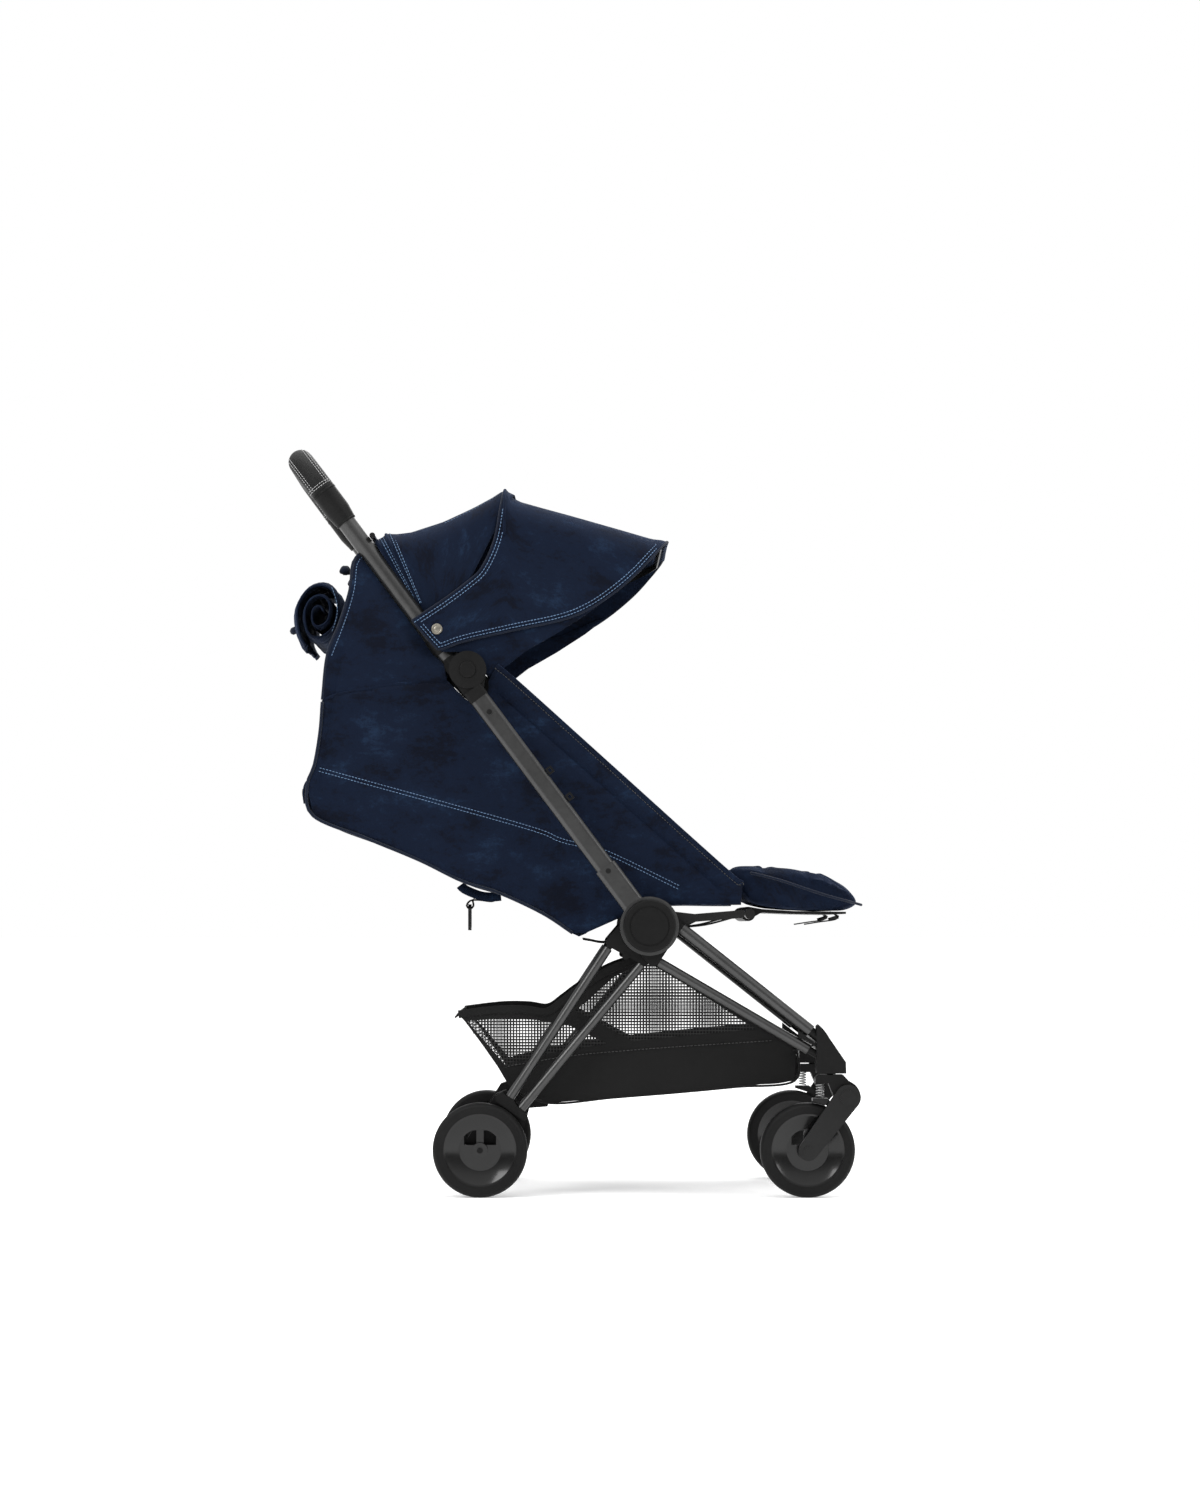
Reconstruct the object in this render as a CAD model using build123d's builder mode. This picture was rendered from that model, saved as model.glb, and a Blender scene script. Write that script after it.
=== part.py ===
"""Compact folding baby stroller. Millimetres, +X is the way it rolls, +Z is up, Z = 0 is the floor.

Every body of the fold turns about Y axes, and each layer of the side frames keeps to its own lane
across the width, so that the layers pass beside each other: handle, seat rails, rear legs,
front legs, main frame, from the inside out.
"""
from build123d import *
from math import cos, sin, radians, atan2, hypot
import os

os.makedirs("parts", exist_ok=True)

# ---------------------------------------------------------------- driving dimensions
half_length = 402.5
half_width = 220.0
hub_x, hub_z = 99.0, 372.0
frame_angle = 126.8
knob_run, knob_offset = 429.0, 10.7
fit = 0.08
gap = 0.3

# lanes across the width: distance from the middle plane to the inner and outer face
handle_y = 148.0
rail_lane = (166.2, 170.0)
rear_lane = (171.0, 184.0)
front_lane = (185.0, 202.0)
frame_lane = (202.6, 219.6)
housing_lane = (202.6, 212.0)
cover_lane = (212.0, half_width)
shell_lane = (171.0, 174.0)
mid_bow_lane = (162.5, 165.0)
front_bow_lane = (165.6, 168.0)
canopy_lane = (168.5, 171.0)

# tubes
frame_tube_wide, frame_tube_thick, frame_tube_wall = 27.0, 13.2, 1.6
upper_leg_radius, lower_leg_radius, rear_leg_radius = 8.5, 7.0, 6.5
leg_wall = 1.5
handle_radius, handle_wall, grip_radius = 13.0, 1.8, 17.5
pin_radius = 5.0
front_cross_x, front_cross_z, front_cross_radius, front_cross_end = 337.0, 206.0, 7.0, 179.9
rear_cross_x, rear_cross_z, rear_cross_radius, rear_cross_end = -88.0, 122.0, 8.0, 167.5
handle_corner_radius, collar_radius = 48.0, 14.6

# hub and knobs
hub_axle_radius, hub_axle_end, hub_pin_end = 9.0, 165.5, 211.0
front_plate_radius, rear_plate_radius, hub_cover_radius = 34.0, 32.0, 36.0
ring_outer_radius, ring_inner_radius, ring_depth = 27.5, 25.5, 1.2
knob_radius, knob_disc_radius, knob_cheek_radius, knob_spacer_radius = 25.0, 25.7, 22.0, 20.0
knob_inner_y, button_floor_y, button_radius = 134.0, 214.6, 11.0

# leg tube ends, seen from the side
upper_leg = ((143.0, 368.3), (319.8, 228.2))
lower_leg = ((112.6, 322.0), (317.0, 202.8))
rear_upper_leg = ((42.5, 341.7), (-92.0, 137.0))
rear_lower_leg = ((88.0, 319.0), (-77.0, 121.5))

# wheels
wheel_radius, wheel_width, rim_radius, opening_radius = 65.0, 30.0, 50.0, 29.0
wheel_inner_y = 174.0
axle_radius = 4.0
rear_axle_x, front_axle_x = -133.0, 316.0
swivel_x, swivel_y = 347.0, 189.0
arm_pivot_x, arm_pivot_z = 370.0, 138.0
arm_lane = (206.0, 214.0)

# seat
recline_x, recline_z, recline_angle, board_length = 15.0, 392.0, 150.5, 360.0
hinge_radius, hinge_inner, hinge_outer = 5.5, 78.0, 118.0
seat_front_x, seat_front_z = 238.0, 389.0
cushion_half_width, board_half_width = 128.0, 122.0
cushion_thick, board_thick = 26.0, 5.0
legrest_board_half, legrest_pad_half = 120.0, 148.0

# basket and canopy
basket_half_width, basket_cloth = 150.0, 3.0
bow_width, bow_corner_radius, bow_eye_radius, bow_pin_radius = 8.0, 46.0, 7.0, 3.0
rear_bow_radius, rear_bow_end, rear_bow_run = 4.0, 163.0, 660.0
roll_half_length = 140.0


# ---------------------------------------------------------------- helpers
def keep(piece, name):
    """Label a finished piece and write it as its own node."""
    piece.part.label = name
    export_step(piece.part, f"parts/{name}.step")


def along(run, side=0.0):
    """A point on the line of the main frame: run from the hub, side towards the front of it."""
    a = radians(frame_angle)
    return hub_x + run * cos(a) + side * sin(a), hub_z + run * sin(a) - side * cos(a)


def right_plane(inner_y):
    """The side-view sketch plane at a distance inner_y on the right-hand (-Y) side."""
    return Plane.XZ.offset(inner_y)


def mirrored(piece):
    """The left-hand copy of a right-hand piece."""
    with BuildPart() as other:
        mirror(piece.part, about=Plane.XZ)
    return other


def pair(piece):
    """A right-hand piece and its mirror image, as two separate solids."""
    with BuildPart() as both:
        add(piece.part)
        mirror(piece.part, about=Plane.XZ)
    return both


def straight_tube(start, end, y, radius, wall):
    """A round hollow tube in a side plane, between two side-view points."""
    run = hypot(end[0] - start[0], end[1] - start[1])
    heading = Vector(end[0] - start[0], 0, end[1] - start[1])
    with BuildPart() as tube:
        with BuildSketch(Plane((start[0], -y, start[1]), x_dir=(0, 1, 0), z_dir=heading)):
            Circle(radius)
            Circle(radius - wall, mode=Mode.SUBTRACT)
        extrude(amount=run)
    return tube


def stub(point, toward, y, radius, length, root=4.0):
    """A solid peg that fills a tube's end, from a root inside the fitting beside it."""
    heading = Vector(toward[0] - point[0], 0, toward[1] - point[1])
    with BuildPart(Plane((point[0], -y, point[1]), x_dir=(0, 1, 0), z_dir=heading), mode=Mode.PRIVATE) as peg:
        with Locations((0, 0, -root)):
            Cylinder(radius, length + root, align=(Align.CENTER, Align.CENTER, Align.MIN))
    return peg.part


def cross_bar(x, z, radius, half_span):
    """A round bar across the stroller."""
    with BuildPart() as bar:
        with BuildSketch(Plane.XZ.offset(-half_span)):
            with Locations((x, z)):
                Circle(radius)
        extrude(amount=2 * half_span)
    return bar


knob_x, knob_z = along(knob_run, knob_offset)
crossbar_x = -half_length + grip_radius
crossbar_run = (hub_x - crossbar_x) / -cos(radians(frame_angle))
frame_heading = Vector(cos(radians(frame_angle)), 0, sin(radians(frame_angle)))

# ---------------------------------------------------------------- front legs (the fixed body)
with BuildPart() as hub_axle:
    with BuildSketch(Plane.XZ.offset(-hub_axle_end)):
        with Locations((hub_x, hub_z)):
            Circle(hub_axle_radius)
    extrude(amount=2 * hub_axle_end)
    with BuildSketch(Plane.XZ.offset(-hub_pin_end)):
        with Locations((hub_x, hub_z)):
            Circle(pin_radius)
    extrude(amount=2 * hub_pin_end)
keep(hub_axle, "hub_axle")

front_leg_y = sum(front_lane) / 2
with BuildPart() as front_tubes:
    add(straight_tube(*upper_leg, front_leg_y, upper_leg_radius, leg_wall).part)
    add(straight_tube(*lower_leg, front_leg_y, lower_leg_radius, leg_wall).part)
keep(front_tubes, "front_tubes_right")
keep(mirrored(front_tubes), "front_tubes_left")

upper_socket, lower_socket = (136.5, 373.4), (104.5, 326.6)
with BuildPart() as front_hinge_plate:
    with BuildSketch(right_plane(front_lane[0] + 0.5)):
        with Locations((hub_x, hub_z)):
            Circle(front_plate_radius)
        with Locations(upper_socket):
            Circle(8.0)
        with Locations(lower_socket):
            Circle(9.0)
        make_hull()
        with Locations((hub_x, hub_z)):
            Circle(pin_radius + 0.02, mode=Mode.SUBTRACT)
    extrude(amount=16.0)
    add(stub(upper_leg[0], upper_leg[1], front_leg_y, upper_leg_radius - leg_wall - gap, 12.0))
    add(stub(lower_leg[0], lower_leg[1], front_leg_y, lower_leg_radius - leg_wall - gap, 12.0))
keep(pair(front_hinge_plate), "front_hinge_plates")

with BuildPart() as caster_carrier:
    with BuildSketch(right_plane(180.0)):
        with BuildLine():
            Polyline((327.5, 170.5), (368.0, 170.5), (367.6, 186.0))
            Line((367.6, 186.0), (345.0, 219.0))
            ThreePointArc((345.0, 219.0), (337.5, 230.0), (330.0, 237.5))
            Polyline((330.0, 237.5), (327.5, 235.0), (327.5, 170.5))
        make_face()
    extrude(amount=27.0)
    with BuildSketch(right_plane(187.0)):
        Polygon((303.0, 229.6), (328.0, 210.3), (328.0, 206.4), (303.0, 220.6), align=None)
    extrude(amount=13.0)
    add(stub(upper_leg[1], upper_leg[0], front_leg_y, upper_leg_radius - leg_wall - gap, 14.0, root=16.0))
    add(stub(lower_leg[1], lower_leg[0], front_leg_y, lower_leg_radius - leg_wall - gap, 14.0, root=16.0))
    with BuildSketch(Plane.XY.offset(170.0)):
        with Locations((swivel_x, -swivel_y)):
            Circle(pin_radius + fit)
    extrude(amount=26.0, mode=Mode.SUBTRACT)
keep(pair(caster_carrier), "caster_carriers")

keep(cross_bar(front_cross_x, front_cross_z, front_cross_radius, front_cross_end), "front_cross_tube")

basket_outline = [
    (-164.0, 250.0), (-100.0, 256.0), (-42.0, 254.0), (0.0, 283.0), (40.0, 306.0), (100.0, 316.0),
    (221.0, 231.0), (304.0, 208.0), (298.0, 158.0), (141.0, 141.5), (-39.0, 127.0), (-92.0, 150.0),
    (-110.0, 178.0), (-155.0, 240.0),
]
basket_hollow = [
    (-180.0, 270.0), (-158.0, 250.0), (-107.5, 179.5), (-90.0, 152.5), (-38.5, 130.0), (141.0, 144.5),
    (295.3, 160.7), (301.5, 210.0), (301.5, 400.0), (-180.0, 400.0),
]
with BuildPart() as basket:
    with BuildSketch(Plane.XZ.offset(-basket_half_width)):
        Polygon(*basket_outline, align=None)
    extrude(amount=2 * basket_half_width)
    with BuildSketch(Plane.XZ.offset(basket_cloth - basket_half_width)):
        Polygon(*basket_hollow, align=None)
    extrude(amount=2 * (basket_half_width - basket_cloth), mode=Mode.SUBTRACT)
keep(basket, "basket")

# ---------------------------------------------------------------- rear legs
rear_leg_y = sum(rear_lane) / 2
with BuildPart() as rear_tubes:
    add(straight_tube(*rear_upper_leg, rear_leg_y, rear_leg_radius, leg_wall).part)
    add(straight_tube(*rear_lower_leg, rear_leg_y, rear_leg_radius, leg_wall).part)
keep(rear_tubes, "rear_tubes_right")
keep(mirrored(rear_tubes), "rear_tubes_left")

with BuildPart() as rear_hinge_plate:
    with BuildSketch(right_plane(rear_lane[0] + 1.0)):
        with Locations((hub_x, hub_z)):
            Circle(rear_plate_radius)
        with Locations((48.0, 350.0), (93.0, 325.5)):
            Circle(7.5)
        make_hull()
        with Locations((hub_x, hub_z)):
            Circle(pin_radius + fit, mode=Mode.SUBTRACT)
    extrude(amount=11.0)
    add(stub(rear_upper_leg[0], rear_upper_leg[1], rear_leg_y, rear_leg_radius - leg_wall - gap, 12.0))
    add(stub(rear_lower_leg[0], rear_lower_leg[1], rear_leg_y, rear_leg_radius - leg_wall - gap, 12.0))
    with BuildSketch(right_plane(rear_lane[1] - 1.5)):
        with Locations((67.0, 331.0)):
            Circle(5.0)
    extrude(amount=1.4)
keep(pair(rear_hinge_plate), "rear_hinge_plates")

with BuildPart() as rear_wheel_housing:
    with BuildSketch(right_plane(171.5)):
        Polygon((-112.0, 139.0), (-103.0, 144.0), (-98.2, 140.2), (-87.2, 132.8), (-82.8, 125.2), (-72.6, 116.6),
                (-67.0, 108.0), (-73.0, 104.0), (-112.0, 132.0), align=None)
    extrude(amount=13.0)
    with BuildSketch(right_plane(142.0)):
        with BuildLine():
            Polyline((-112.0, 141.0), (-98.0, 146.0), (-68.0, 112.0), (-74.0, 90.0))
            Line((-74.0, 90.0), (-118.0, 49.0))
            ThreePointArc((-118.0, 49.0), (-152.0, 54.0), (-152.0, 78.0))
            Line((-152.0, 78.0), (-112.0, 141.0))
        make_face()
    extrude(amount=29.5)
    with BuildSketch(right_plane(171.0)):
        with Locations((rear_axle_x, wheel_radius)):
            Circle(axle_radius)
    extrude(amount=33.0)
    with BuildSketch(right_plane(141.0)):
        with Locations((rear_cross_x, rear_cross_z)):
            Circle(rear_cross_radius + gap)
    extrude(amount=27.0, mode=Mode.SUBTRACT)
    add(stub(rear_upper_leg[1], rear_upper_leg[0], rear_leg_y, rear_leg_radius - leg_wall - gap, 14.0))
    add(stub(rear_lower_leg[1], rear_lower_leg[0], rear_leg_y, rear_leg_radius - leg_wall - gap, 14.0))
keep(pair(rear_wheel_housing), "rear_wheel_housings")

keep(cross_bar(rear_cross_x, rear_cross_z, rear_cross_radius, rear_cross_end), "rear_cross_tube")

pedal_half_width = 30.0
with BuildPart() as brake_pedal:
    with BuildSketch(right_plane(-pedal_half_width)):
        with Locations((rear_cross_x, rear_cross_z)):
            Circle(rear_cross_radius + 4.5)
        Polygon((-86.0, 129.0), (-52.0, 127.0), (-40.0, 121.5), (-42.0, 116.5), (-86.0, 113.0), align=None)
        with Locations((rear_cross_x, rear_cross_z)):
            Circle(rear_cross_radius + fit, mode=Mode.SUBTRACT)
    extrude(amount=2 * pedal_half_width)
keep(brake_pedal, "brake_pedal")

# ---------------------------------------------------------------- main frame
sleeve_start, sleeve_end = 38.0, 101.0
socket_start = 388.0
tube_start = 47.0
frame_tube_y = sum(frame_lane) / 2


def frame_section_plane(run, y=frame_tube_y):
    """A plane across the main frame tube at a distance run from the hub."""
    x, z = along(run)
    return Plane((x, -y, z), x_dir=(0, 1, 0), z_dir=frame_heading)


with BuildPart() as frame_tube:
    with BuildSketch(frame_section_plane(tube_start)):
        SlotOverall(frame_tube_wide, frame_tube_thick, rotation=90)
        SlotOverall(frame_tube_wide - 2 * frame_tube_wall, frame_tube_thick - 2 * frame_tube_wall, rotation=90,
                    mode=Mode.SUBTRACT)
    extrude(amount=socket_start - tube_start)
keep(pair(frame_tube), "frame_tubes")

with BuildPart() as frame_sleeve:
    with BuildSketch(frame_section_plane(0.0)):
        RectangleRounded(frame_lane[1] - frame_lane[0], 31.5, 6.0)
    extrude(amount=sleeve_end)
    with BuildSketch(right_plane(frame_lane[0])):
        with Locations((hub_x, hub_z)):
            Circle(sleeve_start + 2.0)
    extrude(amount=frame_lane[1] - frame_lane[0] + 1.0, mode=Mode.SUBTRACT)
    with BuildSketch(right_plane(housing_lane[0])):
        with Locations((hub_x, hub_z)):
            Circle(sleeve_start + 2.4)
    extrude(amount=housing_lane[1] - housing_lane[0])
    with BuildSketch(frame_section_plane(tube_start - gap)):
        SlotOverall(frame_tube_wide + gap, frame_tube_thick + gap, rotation=90)
    extrude(amount=sleeve_end, mode=Mode.SUBTRACT)
    with BuildSketch(right_plane(housing_lane[0])):
        with Locations((hub_x, hub_z)):
            Circle(pin_radius + fit)
    extrude(amount=housing_lane[1] - housing_lane[0], mode=Mode.SUBTRACT)
keep(pair(frame_sleeve), "frame_sleeves")

with BuildPart() as hub_cover:
    with BuildSketch(right_plane(cover_lane[0])):
        with Locations((hub_x, hub_z)):
            Circle(hub_cover_radius)
    extrude(amount=cover_lane[1] - cover_lane[0])
    fillet(edges().group_by(Axis.Y)[0], 2.5)
    with BuildSketch(right_plane(cover_lane[1] - ring_depth)):
        with Locations((hub_x, hub_z)):
            Circle(ring_outer_radius)
            Circle(ring_inner_radius, mode=Mode.SUBTRACT)
    extrude(amount=ring_depth, mode=Mode.SUBTRACT)
keep(pair(hub_cover), "hub_covers")

with BuildPart() as knob_socket:
    with BuildSketch(right_plane(frame_lane[0] + 0.4)):
        with Locations((knob_x, knob_z)):
            Circle(knob_radius)
        with Locations(along(socket_start + 14.0, -1.0), along(socket_start + 14.0, 1.0)):
            Circle(13.0)
        make_hull()
    extrude(amount=12.0)
    with BuildSketch(frame_section_plane(socket_start)):
        RectangleRounded(14.4, 28.0, 4.0)
    extrude(amount=16.0)
    with BuildSketch(frame_section_plane(socket_start - 22.0)):
        SlotOverall(frame_tube_wide - 2 * frame_tube_wall - gap, frame_tube_thick - 2 * frame_tube_wall - gap, rotation=90)
    extrude(amount=30.0)
    with BuildSketch(right_plane(frame_lane[0] + 12.0)):
        with Locations((knob_x, knob_z)):
            Circle(knob_disc_radius)
    extrude(amount=3.2)
    with BuildSketch(right_plane(button_floor_y)):
        with Locations((knob_x, knob_z)):
            Circle(button_radius + gap)
    extrude(amount=8.0, mode=Mode.SUBTRACT)
    with BuildSketch(right_plane(knob_inner_y)):
        with Locations((knob_x, knob_z)):
            Circle(pin_radius)
    extrude(amount=70.0)
keep(pair(knob_socket), "knob_sockets")

with BuildPart() as frame_screw:
    tube_face_y = frame_tube_y + frame_tube_thick / 2
    for screw_place, face_y, head in ((along(365.0), tube_face_y, 1.8), (along(94.0), frame_lane[1], 0.4)):
        with BuildSketch(right_plane(face_y)):
            with Locations(screw_place):
                Circle(3.6)
        extrude(amount=head)
keep(pair(frame_screw), "frame_screws")

with BuildPart() as strap_hook:
    for hook_run in (252.0, 207.0):
        hook_x, hook_z = along(hook_run, frame_tube_wide / 2 + 0.2)
        with Locations(Plane((hook_x, -frame_tube_y, hook_z), x_dir=(0, 1, 0), z_dir=frame_heading)):
            with Locations((0, -5.0, 0)):
                Box(6.0, 9.0, 10.0)
                Box(7.0, 4.0, 5.0, mode=Mode.SUBTRACT)
keep(pair(strap_hook), "strap_hooks")

shell_outline = [
    (-345.0, 745.0), (-350.0, 681.0), (-355.0, 639.0), (-363.0, 594.0), (-373.0, 565.0), (-364.0, 524.0),
    (-218.0, 462.5), (-158.0, 434.5), (-108.0, 418.0), (-48.0, 390.0), (-4.0, 361.0), (12.0, 362.0),
    (60.0, 399.5), (226.0, 401.0), (228.0, 430.0), (194.0, 457.0), (-110.0, 728.0),
]
shell_hollow = [
    (-345.0, 900.0), (-341.8, 745.0), (-347.0, 681.0), (-352.0, 639.0), (-360.0, 594.0), (-369.0, 566.0),
    (-361.5, 526.5), (-217.0, 465.5), (-157.0, 437.5), (-107.0, 421.0), (-46.5, 393.0), (-3.0, 364.4),
    (11.0, 365.4), (59.0, 402.6), (240.0, 404.0), (240.0, 900.0),
]
with BuildPart() as seat_shell:
    with BuildSketch(Plane.XZ.offset(-shell_lane[1])):
        Polygon(*shell_outline, align=None)
    extrude(amount=2 * shell_lane[1])
    with BuildSketch(Plane.XZ.offset(-shell_lane[0])):
        Polygon(*shell_hollow, align=None)
    extrude(amount=2 * shell_lane[0], mode=Mode.SUBTRACT)
    with BuildSketch(Plane.XZ.offset(-half_width)):
        with Locations((hub_x, hub_z)):
            Circle(46.0)
        with Locations((knob_x, knob_z)):
            Circle(30.0)
    extrude(amount=2 * half_width, mode=Mode.SUBTRACT)
keep(seat_shell, "seat_shell")

with BuildPart() as pull_strap:
    with BuildSketch(Plane.XZ.offset(-17.0)):
        Polygon((-167.0, 434.0), (-158.0, 431.0), (-108.5, 414.5), (-110.0, 402.0), (-136.0, 404.0), (-158.0, 414.0),
                align=None)
    extrude(amount=34.0)
    with BuildSketch(Plane.XZ.offset(-12.0)):
        Polygon((-158.0, 416.0), (-145.0, 410.0), (-147.0, 396.0), (-158.0, 396.0), align=None)
        with Locations((-152.5, 401.0)):
            Circle(3.2, mode=Mode.SUBTRACT)
    extrude(amount=24.0)
keep(pull_strap, "pull_strap")

with BuildPart() as d_ring:
    with BuildSketch(Plane.YZ.offset(-154.5)):
        with Locations((0.0, 384.5)):
            RectangleRounded(38.0, 37.0, 6.0)
            RectangleRounded(30.0, 29.0, 3.0, mode=Mode.SUBTRACT)
    extrude(amount=4.0)
keep(d_ring, "d_ring")

# ---------------------------------------------------------------- handle
def handle_plane(run):
    """A plane across the right-hand handle tube at a distance run from the hub."""
    x, z = along(run)
    return Plane((x, -handle_y, z), x_dir=(0, 1, 0), z_dir=frame_heading)


def handle_path(run):
    """The U of the handle, from a distance run on the right to the same place on the left."""
    x, z = along(run)
    top_x, top_z = along(crossbar_run)
    with BuildLine() as line:
        FilletPolyline((x, -handle_y, z), (top_x, -handle_y, top_z), (top_x, handle_y, top_z), (x, handle_y, z),
                       radius=handle_corner_radius)
    return line


handle_tube_start, collar_start, collar_taper, leather_start = 463.0, 697.0, 20.0, 753.0
with BuildPart() as handle_bar:
    bar_path = handle_path(handle_tube_start)
    with BuildSketch(handle_plane(handle_tube_start)):
        Circle(handle_radius)
        Circle(handle_radius - handle_wall, mode=Mode.SUBTRACT)
    sweep(path=bar_path.wires()[0])
keep(handle_bar, "handle_bar")

with BuildPart() as grip:
    grip_path = handle_path(leather_start)
    with BuildSketch(handle_plane(leather_start)):
        Circle(grip_radius)
        Circle(handle_radius + 0.1, mode=Mode.SUBTRACT)
    sweep(path=grip_path.wires()[0])
keep(grip, "grip")

with BuildPart() as grip_collar:
    with BuildSketch(handle_plane(collar_start)):
        Circle(collar_radius)
    with BuildSketch(handle_plane(collar_start + collar_taper)):
        Circle(grip_radius)
    loft()
    with BuildSketch(handle_plane(collar_start + collar_taper)):
        Circle(grip_radius)
    extrude(amount=leather_start - collar_start - collar_taper)
    with BuildSketch(handle_plane(collar_start)):
        Circle(handle_radius + 0.1)
    extrude(amount=leather_start - collar_start, mode=Mode.SUBTRACT)
keep(pair(grip_collar), "grip_collars")

with BuildPart() as knob_upper:
    with BuildSketch(right_plane(knob_inner_y)):
        with Locations((knob_x, knob_z)):
            Circle(knob_cheek_radius)
        with Locations(along(handle_tube_start - 14.0)):
            Circle(13.5)
        make_hull()
    extrude(amount=28.0)
    with BuildSketch(handle_plane(handle_tube_start - 16.0)):
        Circle(collar_radius)
    extrude(amount=16.0)
    with BuildSketch(handle_plane(handle_tube_start - 2.0)):
        Circle(handle_radius - handle_wall - gap)
    extrude(amount=22.0)
    with BuildSketch(right_plane(160.0)):
        with Locations((knob_x, knob_z)):
            Circle(knob_spacer_radius)
    extrude(amount=42.3)
    with BuildSketch(right_plane(130.0)):
        with Locations((knob_x, knob_z)):
            Circle(pin_radius + fit)
    extrude(amount=80.0, mode=Mode.SUBTRACT)
keep(pair(knob_upper), "knob_uppers")

canopy_pivot = along(485.0)
with BuildPart() as canopy_clip:
    with BuildSketch(handle_plane(473.0)):
        Circle(14.3)
        Circle(handle_radius + 0.1, mode=Mode.SUBTRACT)
    extrude(amount=24.0)
    with BuildSketch(right_plane(161.2)):
        with Locations(canopy_pivot):
            Circle(bow_pin_radius)
    extrude(amount=7.2)
    with BuildSketch(right_plane(161.2)):
        with Locations(canopy_pivot):
            Circle(6.0)
    extrude(amount=1.2)
keep(pair(canopy_clip), "canopy_clips")

with BuildPart() as rear_bow:
    bow_x, bow_z = along(rear_bow_run, handle_radius + rear_bow_radius + 0.4)
    with BuildSketch(Plane.XZ.offset(-rear_bow_end)):
        with Locations((bow_x, bow_z)):
            Circle(rear_bow_radius)
    extrude(amount=2 * rear_bow_end)
keep(rear_bow, "rear_bow")


def flat_bow(tip, lane):
    """A flat U bow, bow_width wide, with round eyes on the canopy pivots."""
    angle = atan2(tip[1] - canopy_pivot[1], tip[0] - canopy_pivot[0])
    reach = hypot(tip[0] - canopy_pivot[0], tip[1] - canopy_pivot[1])
    heading = Vector(cos(angle), 0, sin(angle))
    base = Plane((canopy_pivot[0], 0, canopy_pivot[1]), x_dir=(0, 1, 0), z_dir=Vector(0, 1, 0).cross(heading))
    side = 1 if base.y_dir.dot(heading) > 0 else -1
    with BuildPart() as strip:
        with BuildSketch(base.offset(-bow_width / 2)):
            with BuildLine():
                outer = FilletPolyline((-lane[1], 0), (-lane[1], side * reach), (lane[1], side * reach), (lane[1], 0),
                                       radius=bow_corner_radius)
                Line((lane[1], 0), (lane[0], 0))
                inner = FilletPolyline((lane[0], 0), (lane[0], side * (reach - lane[1] + lane[0])),
                                       (-lane[0], side * (reach - lane[1] + lane[0])), (-lane[0], 0),
                                       radius=bow_corner_radius - lane[1] + lane[0])
                Line((-lane[0], 0), (-lane[1], 0))
            make_face()
        extrude(amount=bow_width)
    with BuildPart() as made:
        add(strip.part)
        for inner_y in (lane[0], -lane[1]):
            with BuildSketch(right_plane(inner_y)):
                with Locations(canopy_pivot):
                    Circle(bow_eye_radius)
            extrude(amount=lane[1] - lane[0])
            with BuildSketch(right_plane(inner_y)):
                with Locations(canopy_pivot):
                    Circle(bow_pin_radius + fit)
            extrude(amount=lane[1] - lane[0], mode=Mode.SUBTRACT)
    return made


mid_tip, front_tip = (-98.5, 971.5), (116.0, 898.5)
keep(flat_bow(mid_tip, mid_bow_lane), "mid_bow")
keep(flat_bow(front_tip, front_bow_lane), "front_bow")


def canopy_skin(outline, hollow, name, cuts=()):
    """A canopy panel: a thin shell with rounded top corners, open underneath."""
    with BuildPart() as outer:
        with BuildSketch(Plane.XZ.offset(-canopy_lane[1])):
            Polygon(*outline, align=None)
        extrude(amount=2 * canopy_lane[1])
    with BuildPart() as inner:
        with BuildSketch(Plane.XZ.offset(-canopy_lane[0])):
            Polygon(*hollow, align=None)
        extrude(amount=2 * canopy_lane[0])
    with BuildPart() as skin:
        add(outer.part)
        add(inner.part, mode=Mode.SUBTRACT)
        for cut in cuts:
            with BuildSketch(Plane.XZ.offset(-half_width)):
                Polygon(*cut, align=None)
            extrude(amount=2 * half_width, mode=Mode.SUBTRACT)
    keep(skin, name)


canopy_skin(
    [(-256.0, 921.0), (-180.0, 953.0), (-98.8, 980.5), (-93.0, 930.0), (-112.0, 865.0), (-150.0, 815.0),
     (-196.0, 781.0), (-199.0, 786.0)],
    [(-255.0, 917.8), (-180.0, 950.0), (-96.5, 977.6), (-80.0, 930.0), (-100.0, 860.0), (-150.0, 790.0),
     (-180.0, 760.0), (-230.0, 760.0)],
    "canopy_rear",
)
canopy_skin(
    [(-97.8, 980.2), (-60.0, 962.0), (26.0, 937.5), (104.0, 915.0), (127.0, 908.0), (83.0, 857.0),
     (12.0, 801.0), (-60.0, 777.0), (-155.0, 757.0), (-190.0, 745.0), (-205.0, 760.0), (-194.0, 780.0),
     (-148.0, 814.0), (-110.0, 864.6), (-91.0, 930.0)],
    [(-110.0, 960.0), (-95.0, 976.5), (-60.0, 958.8), (26.0, 934.3), (104.0, 911.8), (140.0, 900.0),
     (140.0, 700.0), (-250.0, 700.0), (-250.0, 780.0), (-148.0, 860.0)],
    "canopy_front",
)

# ---------------------------------------------------------------- fold buttons
with BuildPart() as fold_button:
    with BuildSketch(right_plane(button_floor_y + 1.0)):
        with Locations((knob_x, knob_z)):
            Circle(button_radius)
    extrude(amount=half_width - button_floor_y - 1.0)
    fillet(edges().group_by(Axis.Y)[0], 1.0)
keep(fold_button, "fold_button_right")
keep(mirrored(fold_button), "fold_button_left")

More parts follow.
